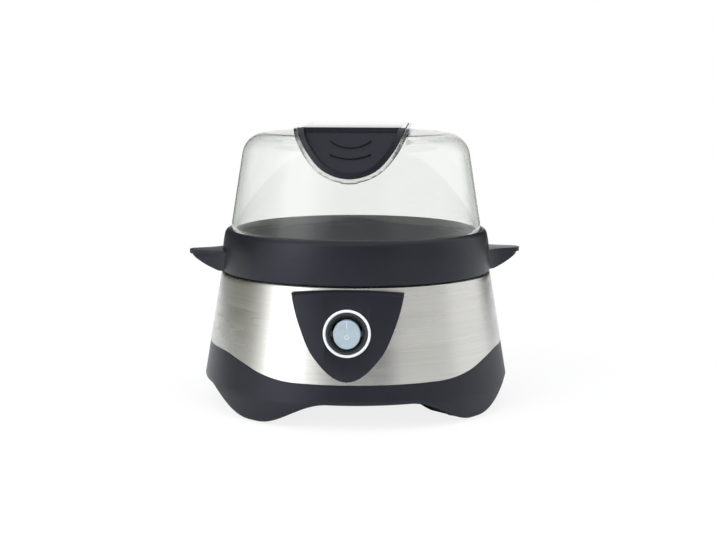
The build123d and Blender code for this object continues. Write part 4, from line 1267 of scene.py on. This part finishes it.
@dataclass
class SwitchUnit(Assembly):
    """Round rocker switch with its trim ring and bezel; heights run out from its face.

    Attributes:
        button_edge: How far the button's ends stand out from its pivot.
        button_dip: The same for the middle of its dished front.
        half_tilt: Tilt of the button from its middle place in degrees.
    """

    well_radius: float = 8.9
    button_radius: float = 8.1
    button_half_width: float = 7.7
    button_wall: float = 1.4
    button_rings: int = 20
    rim: float = 0.7
    pivot_depth: float = 2.4
    button_edge: float = 5.1
    button_dip: float = 3.7
    half_tilt: float = 8.0
    barrel_back: float = -15.5
    well_back: float = -13.5
    seat: float = -0.6

    def build_ring(self) -> None:
        """White trim ring with a rounded front."""
        inner, outer, seat, front = SWITCH.bezel_radius + 0.2, SWITCH.trim_radius, self.seat, 0.95
        section = [(inner, seat, 0), (outer, seat, 0), (outer, front, 0.75), (inner, front, 0.7)]
        ring = turned("white_trim_ring", section, 128, SWITCH.frame())
        self.shop.place(ring, Body.BASE, "white_trim", "switch_ring")

    def build_housing(self) -> None:
        """Dished bezel and barrel of the switch."""
        well, bezel, barrel = self.well_radius, SWITCH.bezel_radius, SWITCH.barrel_radius
        section = [
            (0, self.barrel_back, 0), (barrel, self.barrel_back, 0.6), (barrel, self.seat, 0), (bezel, self.seat, 0),
            (bezel, 1.2, 0.4), (bezel - 0.9, 1.3, 0.3), (well + 0.9, 0.1, 0.6), (well, -1.0, 0.4),
            (well, self.well_back, 0.5), (0, self.well_back, 0),
        ]
        parts = [turned("switch_bezel", section, 128, SWITCH.frame())]
        for sign in (-1, 1):
            low, high = sorted((sign * (self.button_half_width + 0.25), sign * (well + 0.4)))
            cap = block("bearing_cap", (low, -1.7, -1.15), (high, 1.7, -0.55), 0.2, 2)
            cap.data.transform(SWITCH.frame())
            parts.append(cap)
        self.shop.place(merge("switch_bezel", parts), Body.BASE, "gloss_black", "switch_housing")

    def dish_button(self, button: bpy.types.Object) -> None:
        """Draw a flat round button to its dished, slightly narrow form about the pivot.

        Args:
            button: Button with its flat front at height 0.
        """
        radius, rim, dip = self.button_radius, self.rim, self.button_dip
        half, rise = radius + 0.5, self.button_edge - dip
        bow = (half ** 2 + rise ** 2) / (2 * rise)
        squeeze = self.button_half_width / radius
        for vert in button.data.vertices:
            x, y, z = (c / MM for c in vert.co)
            dish = dip + bow - math.sqrt(bow ** 2 - min(y * y, half * half))
            if z > -0.01:
                over = max(0.0, math.hypot(x, y) - (radius - rim)) / rim
                z = dish - rim * (1 - math.sqrt(max(0.0, 1 - min(1.0, over) ** 2)))
            elif z > -2.0:
                z = dish - rim - 0.5
            else:
                z = z + self.button_edge
            vert.co = Vector((x * squeeze, y, z)) * MM

    def build_rocker(self) -> None:
        """Round rocker with a hollow back, rounded rim, trunnions and plunger."""
        radius, inner, back, hollow = self.button_radius, self.button_radius - self.button_wall, -9.6, -6.0
        section = [(radius * n / self.button_rings, 0.0, 0) for n in range(self.button_rings + 1)]
        section += [(radius, -1.2, 0), (radius, back, 0.4), (inner, back, 0.3), (inner, hollow, 0.6), (0, hollow, 0)]
        button = turned("button", section, 96)
        self.dish_button(button)
        bm = bmesh.new()
        bm.from_mesh(button.data)
        close_up(bm)
        trunnions = (1.15, 1.15, 18.8, Matrix.Rotation(RIGHT_ANGLE, 4, "Y"))
        plunger = (1.0, 1.2, 7.4, Matrix.Translation((0, 0, -4.4 * MM)))
        for low, high, length, place in (trunnions, plunger):
            bmesh.ops.create_cone(bm, cap_ends=True, segments=32, radius1=low * MM, radius2=high * MM,
                                  depth=length * MM, matrix=place)
        place = SWITCH.frame(-self.pivot_depth, SWITCH.tilt - self.half_tilt)
        bmesh.ops.transform(bm, matrix=place, verts=bm.verts[:])
        bm.to_mesh(button.data)
        bm.free()
        button.name = "rocker_button"
        self.shop.place(shade(button), Body.ROCKER, "rocker_blue_grey", "switch_rocker")

    def build(self) -> None:
        """Build the switch."""
        self.build_ring()
        self.build_housing()
        self.build_rocker()


@dataclass
class WaterPan(Assembly):
    """Steel water pan with a rounded floor corner and a soft seal under its rim."""

    flange_z: float = 80.1
    flange_radius: float = 79.3
    mouth_radius: float = 70.0
    floor_radius: float = 65.0
    floor_z: float = 64.0
    sheet: float = 1.0

    def build(self) -> None:
        """Spin the pan and its seal."""
        floor, flange, sheet = self.floor_z, self.flange_z, self.sheet
        section = [
            (0, floor, 0), (self.floor_radius + sheet, floor, 3.0), (self.mouth_radius + sheet, flange, 1.2),
            (self.flange_radius, flange, 0.2), (self.flange_radius, flange + sheet, 0.4),
            (self.mouth_radius, flange + sheet, 1.0), (self.floor_radius, floor + sheet, 2.6), (0, floor + sheet, 0),
        ]
        pan = turned("water_pan_pressing", section, ROUND_STEPS)
        self.shop.place(pan, Body.BASE, "pan_steel", "water_pan")
        inner, outer, low = 75.6, 79.2, 79.5
        seal = [(inner, low, 0.1), (outer, low, 0.2), (outer, flange, 0.2), (inner, flange, 0.1)]
        self.shop.place(turned("pan_seal", seal, 160), Body.BASE, "rubber", "pan_gasket")


@dataclass
class Tray(Assembly):
    """Black tray ring with two ears, and the rack with its cups."""

    bottom_z: float = 80.3
    bottom_radius: float = 82.0
    waist_radius: float = 81.0
    waist_z: float = 97.0
    crest_radius: float = 77.6
    crest_z: float = 105.2
    lid_seat_z: float = 99.7
    pocket_radius: float = 76.3
    inner_radius: float = 72.4
    ledge_radius: float = 70.2
    channel_radius: float = 74.8
    skin_radius: float = 78.7
    ear_tip_radius: float = 101.4
    ear_top_z: float = 92.4
    ear_tip: float = 2.4
    rack_top_z: float = 89.0
    rack: float = 2.0
    rack_radius: float = 72.1
    rim_inner: float = 66.4
    rim_outer: float = 68.2
    rim_drop: float = 8.5
    cup_circle: float = 48.0
    cup_top: float = 18.5
    cup_low: float = 14.5
    cup_low_z: float = 81.5
    cup_wall: float = 1.8
    cup_lip: float = 0.8
    steam_circles: tuple[Point, ...] = ((27.7, 2.5), (60.5, 4.0))

    def build_ring(self) -> None:
        """Spin the ring's channel section."""
        seat, inner, channel, skin = self.rack_top_z - self.rack, self.inner_radius, self.channel_radius, 97.0
        section = [
            (79.9, self.bottom_z, 0.3), (self.bottom_radius, self.bottom_z, 0.7),
            (self.waist_radius, self.waist_z, 2.5), (self.crest_radius + 1.9, self.crest_z - 0.9, 2.0),
            (self.crest_radius - 0.4, self.crest_z, 0.6), (self.pocket_radius, self.crest_z - 1.0, 0.4),
            (self.pocket_radius, self.lid_seat_z, 0.4), (inner, self.lid_seat_z, 0.6),
            (inner, seat, 0.3), (self.ledge_radius, seat, 0.4), (self.ledge_radius, seat - 2.0, 0.4),
            (inner, 83.2, 0.5), (inner, 81.1, 0.3), (channel, 81.1, 0.3), (channel, skin, 0.8),
            (self.skin_radius, skin, 0.8),
        ]
        ring = turned("tray_ring_moulding", section, 256)
        self.shop.place(ring, Body.TRAY, "black_plastic", "tray_ring")

    def ear(self, name: str, inset: float, low_z: float, high_z: float) -> bpy.types.Object:
        """Plate of the ear's outline, pointing along X.

        Args:
            name: Name of the piece.
            inset: How far the outline is drawn in.
            low_z: Lower height.
            high_z: Upper height.

        Returns:
            The plate.
        """
        tip = self.ear_tip_radius
        neck = (tip - 3.4 - inset, 6.0 - inset)
        edge = smooth_path([(78.6, 19.0 - inset), (84.5, 12.0 - inset), neck], (0.5, -1), (1, -0.35), 10)
        nose = smooth_path([neck, (tip - inset, 0.0), (neck[0], inset - 6.0)], (1, -0.35), (-1, -0.35), 8)
        outline = edge + nose[1:-1] + [(x, -y) for x, y in reversed(edge)]
        return drawn(name, [(x, y, low_z) for x, y in outline], (0, 0, high_z - low_z))

    def build_ears(self) -> None:
        """Two ears: a thin plate over a web that slants up to the tip."""
        tip, top_z, low_z, root = self.ear_tip_radius, self.ear_top_z, self.bottom_z, 70
        web = self.ear("web", 1.6, low_z, top_z - 1.0)
        under = smooth_path([(tip - 1.2, top_z - self.ear_tip), (95.4, 85.8), (89.0, 82.2), (84.0, low_z)],
                            (-0.6, -1), (-1, -0.3), 6)
        slant = prism("slant", [(root, top_z), (tip, top_z)] + under + [(root, low_z)], -30.0, 30.0)
        carve(web, [slant], Cut.COMMON)
        plate = self.ear("plate", 0.0, top_z - self.ear_tip, top_z)
        carve(plate, [web], Cut.JOIN)
        carve(plate, [plug("hollow", self.skin_radius + 0.05, 70, 110, 200)], Cut.AWAY)
        soften(plate, 0.6, 3, 36.0)
        bm = bmesh.new()
        bm.from_mesh(plate.data)
        bmesh.ops.rotate(bm, cent=ORIGIN, matrix=Matrix.Rotation(math.radians(SEAM.stance), 3, "Z"),
                         verts=bm.verts[:])
        copy = bmesh.ops.duplicate(bm, geom=bm.verts[:] + bm.edges[:] + bm.faces[:])
        others = [v for v in copy["geom"] if isinstance(v, bmesh.types.BMVert)]
        bmesh.ops.rotate(bm, cent=ORIGIN, matrix=Matrix.Rotation(math.pi, 3, "Z"), verts=others)
        bm.to_mesh(plate.data)
        bm.free()
        plate.name = "tray_ears"
        self.shop.place(shade(plate), Body.TRAY, "black_plastic", "tray_ring")

    def cup_places(self) -> list[Matrix]:
        """Places of the seven cups.

        Returns:
            Matrices that carry the middle to each cup.
        """
        turns = [math.radians(60.0 * n + 30.0) for n in range(6)]
        places = [(0.0, 0.0), *((self.cup_circle * math.cos(a), self.cup_circle * math.sin(a)) for a in turns)]
        return [Matrix.Translation(Vector((x, y, 0)) * MM) for x, y in places]

    def build_rack(self) -> None:
        """Rack deck with rounded cups, steam holes and a locating rim."""
        top_z, lip_z, cut_low, cut_high = self.rack_top_z, self.rack_top_z + self.cup_lip, 80, 95
        seat, edge_z = top_z - self.rack, top_z - self.rack - self.rim_drop
        deck = turned("rack_deck", [
            (0, seat, 0), (self.rim_inner, seat, 0), (self.rim_inner, edge_z, 0.4), (self.rim_outer, edge_z, 0.4),
            (self.rim_outer, seat, 0.5), (self.rack_radius, seat, 0.3), (self.rack_radius, top_z, 0.5), (0, top_z, 0),
        ], 160)
        tools = [plug("cup_cut", self.cup_top + 0.6, cut_low, cut_high, 64, at) for at in self.cup_places()]
        for circle, radius in self.steam_circles:
            for n in range(6):
                at = place_round(FULL_TURN * n / 6, circle)
                tools.append(plug("steam_cut", radius, cut_low, cut_high, 32, at))
        carve(deck, tools, Cut.AWAY)
        soften(deck, 0.35, 2, 50.0)
        low, top, wall, low_z = self.cup_low, self.cup_top, self.cup_wall, self.cup_low_z
        deck_radius = low + wall + (top - low) / (lip_z - low_z) * (top_z - low_z)
        section = [(low, low_z, 0.5), (low + wall, low_z, 0.5), (deck_radius, top_z - 0.1, 0.0),
                   (top + wall, lip_z, 0.7), (top, lip_z, 0.8)]
        cups = [turned("cup", section, 72, at) for at in self.cup_places()]
        self.shop.place(merge("cup_rack", [deck, *cups]), Body.TRAY, "black_plastic", "egg_rack")

    def build(self) -> None:
        """Build the tray."""
        self.build_ring()
        self.build_ears()
        self.build_rack()


@dataclass
class Lid(Assembly):
    """Clear domed lid and its black grip.

    Attributes:
        half_width: Half width of the recess at the top.
        tip_z: Lowest point of the recess.
        gap: Gap between the grip and the recess.
        face_top_y: Distance of the grip's faces from the middle at the top.
        face_slope: How far they lean out per height.
        ridges: Heights of the ends and the middle of each grip ridge.
        reach: Half depth of the tools that cut through front and back.
    """

    radius: float = 75.9
    straight_top_z: float = 107.6
    slope: float = 0.16
    seat_z: float = 99.7
    crown_z: float = 166.2
    crown_radius: float = 480.0
    shoulder: float = 15.0
    raised_corner: float = 12.0
    wall: float = 2.3
    wall_rows: int = 20
    shoulder_rows: int = 16
    crown_rows: int = 14
    vent_x: float = 48.0
    vent_radius: float = 1.5
    half_width: float = 31.5
    tip_z: float = 139.4
    top_z: float = 167.7
    rim_wall: float = 2.4
    rim_proud: float = 0.3
    rim_top_z: float = 167.1
    gap: float = 0.1
    face_top_y: float = 50.0
    face_slope: float = 0.62
    plate: float = 2.6
    plate_half_width: float = 28.5
    grip_wall: float = 2.4
    ridges: tuple[Point, ...] = ((159.7, 156.0), (152.2, 149.9))
    ridge_half_width: float = 11.4
    reach: float = 90.0

    def cone(self, z: float) -> float:
        """Radius of the outer wall at height z, above the straight collar."""
        return self.radius - self.slope * (z - self.straight_top_z)

    def dome_curve(self, inset: float) -> list[Point]:
        """Points from the collar over the shoulder to the crown, moved inwards.

        Args:
            inset: Distance inwards.

        Returns:
            Radius and height of each point.
        """
        fillet = self.shoulder - inset
        lean = math.sqrt(1 + self.slope ** 2)
        crown = self.crown_z - inset
        centre_z = crown - self.crown_radius
        low, high = 120.0, crown
        # The height at which the shoulder's rounding meets both the wall and the crown
        for _ in range(60):
            z = (low + high) / 2
            r = self.cone(z) - inset - fillet * lean
            if math.hypot(r, z - centre_z) < self.crown_radius - fillet:
                low = z
            else:
                high = z
        start = math.atan(self.slope)
        end = math.atan2(z - centre_z, r)
        points = [(self.radius - inset, self.straight_top_z)]
        for n in range(1, self.wall_rows):
            row_z = self.straight_top_z + (z + fillet * math.sin(start) - self.straight_top_z) * n / self.wall_rows
            points.append((self.cone(row_z) - inset, row_z))
        for n in range(self.shoulder_rows + 1):
            angle = start + (end - start) * n / self.shoulder_rows
            points.append((r + fillet * math.cos(angle), z + fillet * math.sin(angle)))
        edge = points[-1][0]
        for n in range(1, self.crown_rows):
            row_r = edge * (1 - n / self.crown_rows)
            points.append((row_r, centre_z + math.sqrt(self.crown_radius ** 2 - row_r ** 2)))
        return points + [(0.0, crown)]

    def solid(self, name: str, inset: float, low_z: float) -> bpy.types.Object:
        """Solid inside the lid's surface, moved inwards.

        Args:
            name: Name of the solid.
            inset: Distance inwards.
            low_z: Height of its flat bottom.

        Returns:
            The solid.
        """
        outline = [(0, low_z, 0), (self.radius - inset, low_z, 0)]
        outline += [(r, z, 0) for r, z in self.dome_curve(inset)]
        return turned(name, outline, 224)

    def raised(self, name: str, proud: float, top_z: float) -> bpy.types.Object:
        """Solid with the lid's wall and a flat, raised top.

        Args:
            name: Name of the solid.
            proud: Distance outwards.
            top_z: Height of its top.

        Returns:
            The solid.
        """
        low_z, corner, steps = self.tip_z - 15.0, self.raised_corner, 14
        centre_z = top_z - corner
        centre_r = self.cone(centre_z) + proud - corner * math.sqrt(1 + self.slope ** 2)
        start = math.atan(self.slope)
        section = [(0, low_z, 0), (self.cone(low_z) + proud, low_z, 0)]
        for n in range(steps + 1):
            angle = start + (RIGHT_ANGLE - start) * n / steps
            section.append((centre_r + corner * math.cos(angle), centre_z + corner * math.sin(angle), 0))
        return turned(name, section + [(0, top_z, 0)], 224)

    def recess(self, grow: float) -> list[Point]:
        """Closed outline of the recess, a rounded V, grown outwards.

        Args:
            grow: Distance outwards.

        Returns:
            X and Z of each point.
        """
        down = [(self.half_width + grow, self.tip_z + 29.8),
                (24.4 + 0.87 * grow, self.tip_z + 14.4 - 0.5 * grow),
                (15.1 + 0.66 * grow, self.tip_z + 4.5 - 0.75 * grow)]
        points = down + [(0, self.tip_z - grow)] + mirrored(down)
        curve = smooth_path(points, (-0.28, -1), (-0.28, 1), 14)
        side, high = self.half_width + grow, self.tip_z + 55.0
        return curve + [(-side, high), (side, high)]

    def recess_cut(self, name: str, grow: float) -> bpy.types.Object:
        """Solid of the recess through front and back.

        Args:
            name: Name of the solid.
            grow: How far it is grown outwards.

        Returns:
            The solid.
        """
        return prism(name, self.recess(grow), -self.reach, self.reach)

    def build_dome(self) -> None:
        """Clear dome with two steam vents, and the rim that frames the recess."""
        dome = self.solid("clear_lid", 0.0, self.seat_z)
        carve(dome, [self.solid("inside", self.wall, self.seat_z - 3.0), self.recess_cut("cut", self.rim_wall)],
              Cut.AWAY)
        for x in (-self.vent_x, self.vent_x):
            at = Matrix.Translation((x * MM, 0, 0))
            carve(dome, [plug("vent", self.vent_radius, 155, 175, 24, at)], Cut.AWAY)
        soften(dome, 0.3, 2, 40.0)
        self.shop.place(dome, Body.LID, "clear_plastic", "lid_dome")
        rim = self.recess_cut("clear_rim", self.rim_wall)
        carve(rim, [self.raised("rim_skin", self.rim_proud, self.rim_top_z)], Cut.COMMON)
        carve(rim, [self.solid("core", self.wall, self.seat_z - 4.0), self.recess_cut("cut", 0.0)], Cut.AWAY)
        soften(rim, 0.3, 2, 40.0)
        self.shop.place(rim, Body.LID, "clear_plastic")
        self.shop.dress(rim, "clear_edge")
        clear_z, clear_y = 161.0 * MM, -58.0 * MM
        self.shop.redress_where(rim, "clear_plastic", lambda f: f.center.z > clear_z and f.center.y > clear_y)

    def face_y(self, z: float) -> float:
        """Distance of the sloping grip faces from the lid's middle at height z."""
        return self.face_top_y + self.face_slope * (self.top_z - z)

    def between_faces(self, inset: float, half: float, low_z: float, high_z: float) -> bpy.types.Object:
        """Block that fills the space between both grip faces.

        Args:
            inset: How far its ends are drawn in.
            half: Half its width.
            low_z: Height of its bottom.
            high_z: Height of its top.

        Returns:
            The block.
        """
        low, high = self.face_y(low_z) - inset, self.face_y(high_z) - inset
        between = prism("between", [(-low, low_z), (low, low_z), (high, high_z), (-high, high_z)], -half, half)
        between.data.transform(Matrix.Rotation(RIGHT_ANGLE, 4, "Z"))
        return between

    def pocket(self, sign: int) -> bpy.types.Object:
        """Drafted finger pocket in front of a grip face.

        Args:
            sign: -1 for the front, 1 for the rear.

        Returns:
            The pocket's solid.
        """
        back, front = (self.face_top_y, -3.9), (80.0, -2.7)
        bm = bmesh.new()
        loops = []
        for depth, grow in (back, front):
            verts = [bm.verts.new((x * MM, sign * depth * MM, z * MM)) for x, z in self.recess(grow)]
            loops += list(bm.faces.new(verts).edges)
        bmesh.ops.bridge_loops(bm, edges=loops)
        close_up(bm)
        pocket = new_object("pocket", bm)
        carve(pocket, [self.between_faces(0.0, 60.0, self.tip_z - 20.0, self.top_z)], Cut.AWAY)
        return pocket

    def ridge(self, end_z: float, middle_z: float, sign: int) -> bpy.types.Object:
        """Curved grip ridge with rounded back, on one of the grip faces.

        Args:
            end_z: Height of its ends.
            middle_z: Height of its middle.
            sign: -1 for the front, 1 for the rear.

        Returns:
            The ridge.
        """
        lean = math.sqrt(1 + self.face_slope ** 2)
        half, sag, half_height = self.ridge_half_width, (end_z - middle_z) * lean, 0.65
        bend = (half ** 2 + sag ** 2) / (2 * sag)
        spread = math.asin(half / bend)
        bm = bmesh.new()
        bmesh.ops.create_circle(bm, segments=20, radius=1.0 * MM, cap_ends=False)
        bmesh.ops.scale(bm, vec=(half_height, 0.9, 1.0), verts=bm.verts[:])
        start = Matrix.Rotation(-RIGHT_ANGLE - spread, 4, "Z") @ Matrix.Translation((bend * MM, 0, 0))
        bmesh.ops.transform(bm, matrix=start @ Matrix.Rotation(RIGHT_ANGLE, 4, "X"), verts=bm.verts[:])
        spin(bm, 2 * spread, 28, False)
        bmesh.ops.holes_fill(bm, edges=bm.edges[:], sides=32)
        outwards = Vector((0, sign, self.face_slope)).normalized()
        side = Vector((-sign, 0, 0))
        turn = Matrix((side, outwards.cross(side), outwards)).transposed().to_4x4()
        edge = Matrix.Translation((0, sign * self.face_top_y * MM, self.top_z * MM))
        middle = (middle_z - self.top_z) * lean + half_height + bend
        bmesh.ops.transform(bm, matrix=edge @ turn @ Matrix.Translation((0, middle * MM, 0)), verts=bm.verts[:])
        close_up(bm)
        return new_object("ridge", bm)

    def build_grip(self) -> None:
        """Black grip: a finger pocket and two ridges on each side, under a polished plate."""
        grip = self.recess_cut("black_grip", -self.gap)
        carve(grip, [self.raised("grip_skin", 0.4, self.top_z)], Cut.COMMON)
        wall = self.grip_wall * math.sqrt(1 + self.face_slope ** 2)
        under_z = self.top_z - self.plate
        hollow = self.between_faces(wall, 26.0, 105.1, under_z)
        carve(grip, [self.pocket(-1), self.pocket(1), hollow], Cut.AWAY)
        half, depth = self.plate_half_width, self.face_top_y + 2.0
        carve(grip, [block("plate", (-half, -depth, under_z), (half, depth, self.top_z))], Cut.JOIN)
        soften(grip, 0.6, 3, 40.0)
        ridges = [self.ridge(end_z, middle_z, sign) for sign in (-1, 1) for end_z, middle_z in self.ridges]
        grip = self.shop.place(merge("black_grip", [grip, *ridges]), Body.LID, "black_plastic", "lid_handle")
        plate_z = (self.top_z - 0.6) * MM
        self.shop.redress_where(grip, "polished_black", lambda f: f.normal.z > 0.97 and f.center.z > plate_z)

    def build(self) -> None:
        """Build the lid."""
        self.build_dome()
        self.build_grip()


# Studio


@dataclass
class Lamp:
    """One soft lamp that looks at the cooker.

    Attributes:
        name: Name of the lamp.
        azimuth: Direction in degrees, 0 in front and 90 to the right.
        elevation: Height in degrees.
        distance: Distance in m.
        width: Width in m.
        height: Height in m.
        power: Power in W.
    """

    name: str
    azimuth: float
    elevation: float
    distance: float
    width: float
    height: float
    power: float

    def build(self) -> None:
        """Make the lamp."""
        data = bpy.data.lights.new(self.name, "AREA")
        data.shape = "RECTANGLE"
        data.size = self.width
        data.size_y = self.height
        data.energy = self.power
        lamp = bpy.data.objects.new(self.name, data)
        a, e = math.radians(self.azimuth), math.radians(self.elevation)
        away = Vector((math.sin(a) * math.cos(e), -math.cos(a) * math.cos(e), math.sin(e)))
        aim = Vector((0, 0, 0.08))
        lamp.location = aim + away * self.distance
        lamp.rotation_mode = "QUATERNION"
        lamp.rotation_quaternion = (-away).to_track_quat("-Z", "Y")
        lamp.visible_glossy = False
        lamp.visible_transmission = False
        bpy.context.scene.collection.objects.link(lamp)


LAMPS = (
    Lamp("key", -45.0, 38.0, 1.6, 0.9, 0.9, 15.0),
    Lamp("fill", 50.0, 30.0, 1.8, 1.2, 1.0, 8.0),
    Lamp("top", 0.0, 86.0, 1.5, 1.4, 1.4, 14.0),
)


@dataclass
class Studio:
    """Pale floor, white surroundings, soft lamps, a round tent for the reflections, and the camera.

    Attributes:
        distance: Camera's distance from the cooker's axis in m.
        height: Camera's height in m.
        azimuth: Camera's direction in degrees.
        pitch: Downward pitch in degrees.
        yaw: Turn to the right in degrees.
        roll: Roll in degrees.
        lens: Focal length in mm.
        tent_radius: Radius of the tent in m.
        tent_height: Height of the tent in m.
        fields: Azimuth in degrees and brightness of the tent's fields, in rising order.
    """

    distance: float = 0.850
    height: float = 0.19703
    azimuth: float = 3.2
    pitch: float = 7.945
    yaw: float = 0.086
    roll: float = 0.15
    lens: float = 70.09
    tent_radius: float = 1.3
    tent_height: float = 1.5
    fields: tuple[tuple[float, Colour], ...] = (
        (-180.0, (1.0, 1.0, 1.0)), (-170.0, (1.0, 1.0, 1.0)), (-162.0, (0.06, 0.06, 0.03)),
        (-106.0, (0.06, 0.062, 0.02)), (-94.0, (0.12, 0.12, 0.07)), (-82.0, (0.35, 0.35, 0.3)),
        (-72.0, (1.1, 1.1, 1.08)), (-64.0, (2.3, 2.3, 2.3)), (-44.0, (2.5, 2.5, 2.5)), (-32.0, (1.3, 1.3, 1.3)),
        (-16.0, (0.35, 0.35, 0.35)), (24.0, (0.18, 0.18, 0.18)), (38.0, (0.62, 0.62, 0.6)),
        (76.0, (0.68, 0.68, 0.66)), (88.0, (0.96, 0.96, 0.96)), (120.0, (1.05, 1.05, 1.06)),
        (130.0, (0.5, 0.5, 0.48)), (138.0, (0.04, 0.03, 0.02)), (162.0, (0.04, 0.03, 0.02)),
        (170.0, (1.0, 1.0, 1.0)), (180.0, (1.0, 1.0, 1.0)),
    )

    def build_camera(self) -> None:
        """Make the camera and make it the scene's."""
        data = bpy.data.cameras.new("camera")
        data.lens = self.lens
        data.sensor_width = 36.0
        data.clip_start, data.clip_end = 0.05, 50.0
        camera = bpy.data.objects.new("camera", data)
        a = math.radians(self.azimuth)
        camera.location = (math.sin(a) * self.distance, -math.cos(a) * self.distance, self.height)
        turn = Matrix.Rotation(a - math.radians(self.yaw), 4, "Z")
        tip = Matrix.Rotation(math.radians(90.0 - self.pitch), 4, "X")
        roll = Matrix.Rotation(math.radians(self.roll), 4, "Z")
        camera.rotation_mode = "QUATERNION"
        camera.rotation_quaternion = (turn @ tip @ roll).to_quaternion()
        bpy.context.scene.collection.objects.link(camera)
        bpy.context.scene.camera = camera

    def build_world(self) -> None:
        """White surroundings for the camera, metal and glass, softer light for the rest."""
        world = bpy.data.worlds.new("studio")
        world.use_nodes = True
        world.node_tree.nodes.clear()
        graph = Graph(world.node_tree)
        path = graph.add("ShaderNodeLightPath").outputs
        seen = graph.maths("MAXIMUM", path["Is Camera Ray"],
                           graph.maths("MAXIMUM", path["Is Glossy Ray"], path["Is Transmission Ray"]))
        white = graph.add("ShaderNodeBackground", {0: (1, 1, 1, 1), 1: 1.0})
        soft = graph.add("ShaderNodeBackground", {0: (0.93, 0.96, 1, 1), 1: 0.45})
        mixed = graph.add("ShaderNodeMixShader", {0: seen, 1: soft.outputs[0], 2: white.outputs[0]})
        graph.add("ShaderNodeOutputWorld", {0: mixed.outputs[0]})
        bpy.context.scene.world = world
        bpy.context.scene.view_settings.view_transform = "Standard"

    def build_floor(self) -> None:
        """Pale floor that keeps the cooker's shadow and fades to white farther out."""
        near, far, near_glow, far_glow = 0.08, 0.30, 0.84, 1.0
        bm = bmesh.new()
        bmesh.ops.create_circle(bm, cap_ends=True, segments=96, radius=6.0)
        floor = new_object("floor", bm)
        material, graph, place = start_material("pale_floor")
        parts = graph.add("ShaderNodeSeparateXYZ", {0: place})
        flat = graph.add("ShaderNodeCombineXYZ", {0: parts.outputs[0], 1: parts.outputs[1]})
        out = graph.add("ShaderNodeVectorMath", {0: flat.outputs[0]}, operation="LENGTH").outputs["Value"]
        path = graph.add("ShaderNodeLightPath").outputs
        seen = graph.maths("MAXIMUM", path["Is Camera Ray"], path["Is Transmission Ray"])
        fade = graph.maths("MULTIPLY", graph.ramp(out, near, far, near_glow, far_glow), seen)
        paint = graph.add("ShaderNodeBsdfPrincipled", {"Base Color": (0.86, 0.86, 0.86, 1), "Roughness": 0.8,
                                                       "Specular IOR Level": 0.1})
        glow = graph.add("ShaderNodeEmission", {0: (1, 1, 1, 1), 1: 1.0})
        end_material(graph, graph.add("ShaderNodeMixShader", {0: fade, 1: paint.outputs[0], 2: glow.outputs[0]}))
        floor.data.materials.append(material)

    def tent_material(self) -> bpy.types.Material:
        """Glowing fields round the tent, without tint in its upper part.

        Returns:
            The material.
        """
        tint_to, grey_from = 0.3, 0.6
        material, graph, place = start_material("tent_fields")
        parts = graph.add("ShaderNodeSeparateXYZ", {0: place})
        around = graph.maths("ARCTAN2", parts.outputs[0], graph.maths("MULTIPLY", parts.outputs[1], -1.0))
        share = graph.maths("ADD", graph.maths("MULTIPLY", around, 1 / FULL_TURN), 0.5)
        ramp = graph.add("ShaderNodeValToRGB", {0: share})
        strength = max(max(colour) for _, colour in self.fields)
        band = ramp.color_ramp
        while len(band.elements) < len(self.fields):
            band.elements.new(1.0)
        for element, (azimuth, colour) in zip(band.elements, self.fields):
            element.position = (azimuth + 180.0) / 360.0
            element.color = (*[c / strength for c in colour], 1)
        tint = graph.ramp(parts.outputs[2], tint_to, grey_from, 1.0, 0.0)
        hue = graph.add("ShaderNodeHueSaturation", {"Saturation": tint, "Color": ramp.outputs[0]})
        end_material(graph, graph.add("ShaderNodeEmission", {0: hue.outputs[0], 1: strength}))
        return material

    def build_tent(self) -> None:
        """Round tent of bright and dark fields that only gloss and metal show."""
        bm = bmesh.new()
        low = bm.verts.new((0, -self.tent_radius, 0.0))
        high = bm.verts.new((0, -self.tent_radius, self.tent_height))
        bm.edges.new((low, high))
        spin(bm, FULL_TURN, 96, True)
        tent = new_object("tent", bm)
        tent.data.materials.append(self.tent_material())
        tent.visible_camera = False
        tent.visible_diffuse = False
        tent.visible_shadow = False
        tent.visible_transmission = False

    def build(self) -> None:
        """Build the whole studio."""
        self.build_camera()
        self.build_world()
        self.build_floor()
        self.build_tent()
        for lamp in LAMPS:
            lamp.build()


def main() -> None:
    """Build the studio and every sub-assembly in order."""
    logging.basicConfig(level=logging.INFO, format="%(name)s %(message)s")
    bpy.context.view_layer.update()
    Studio().build()
    shop = Shop()
    shop.dress_frame()
    for assembly in (BaseShell, Panel, SwitchUnit, WaterPan, Tray, Lid):
        assembly(shop).build()


if __name__ == "__main__":
    main()
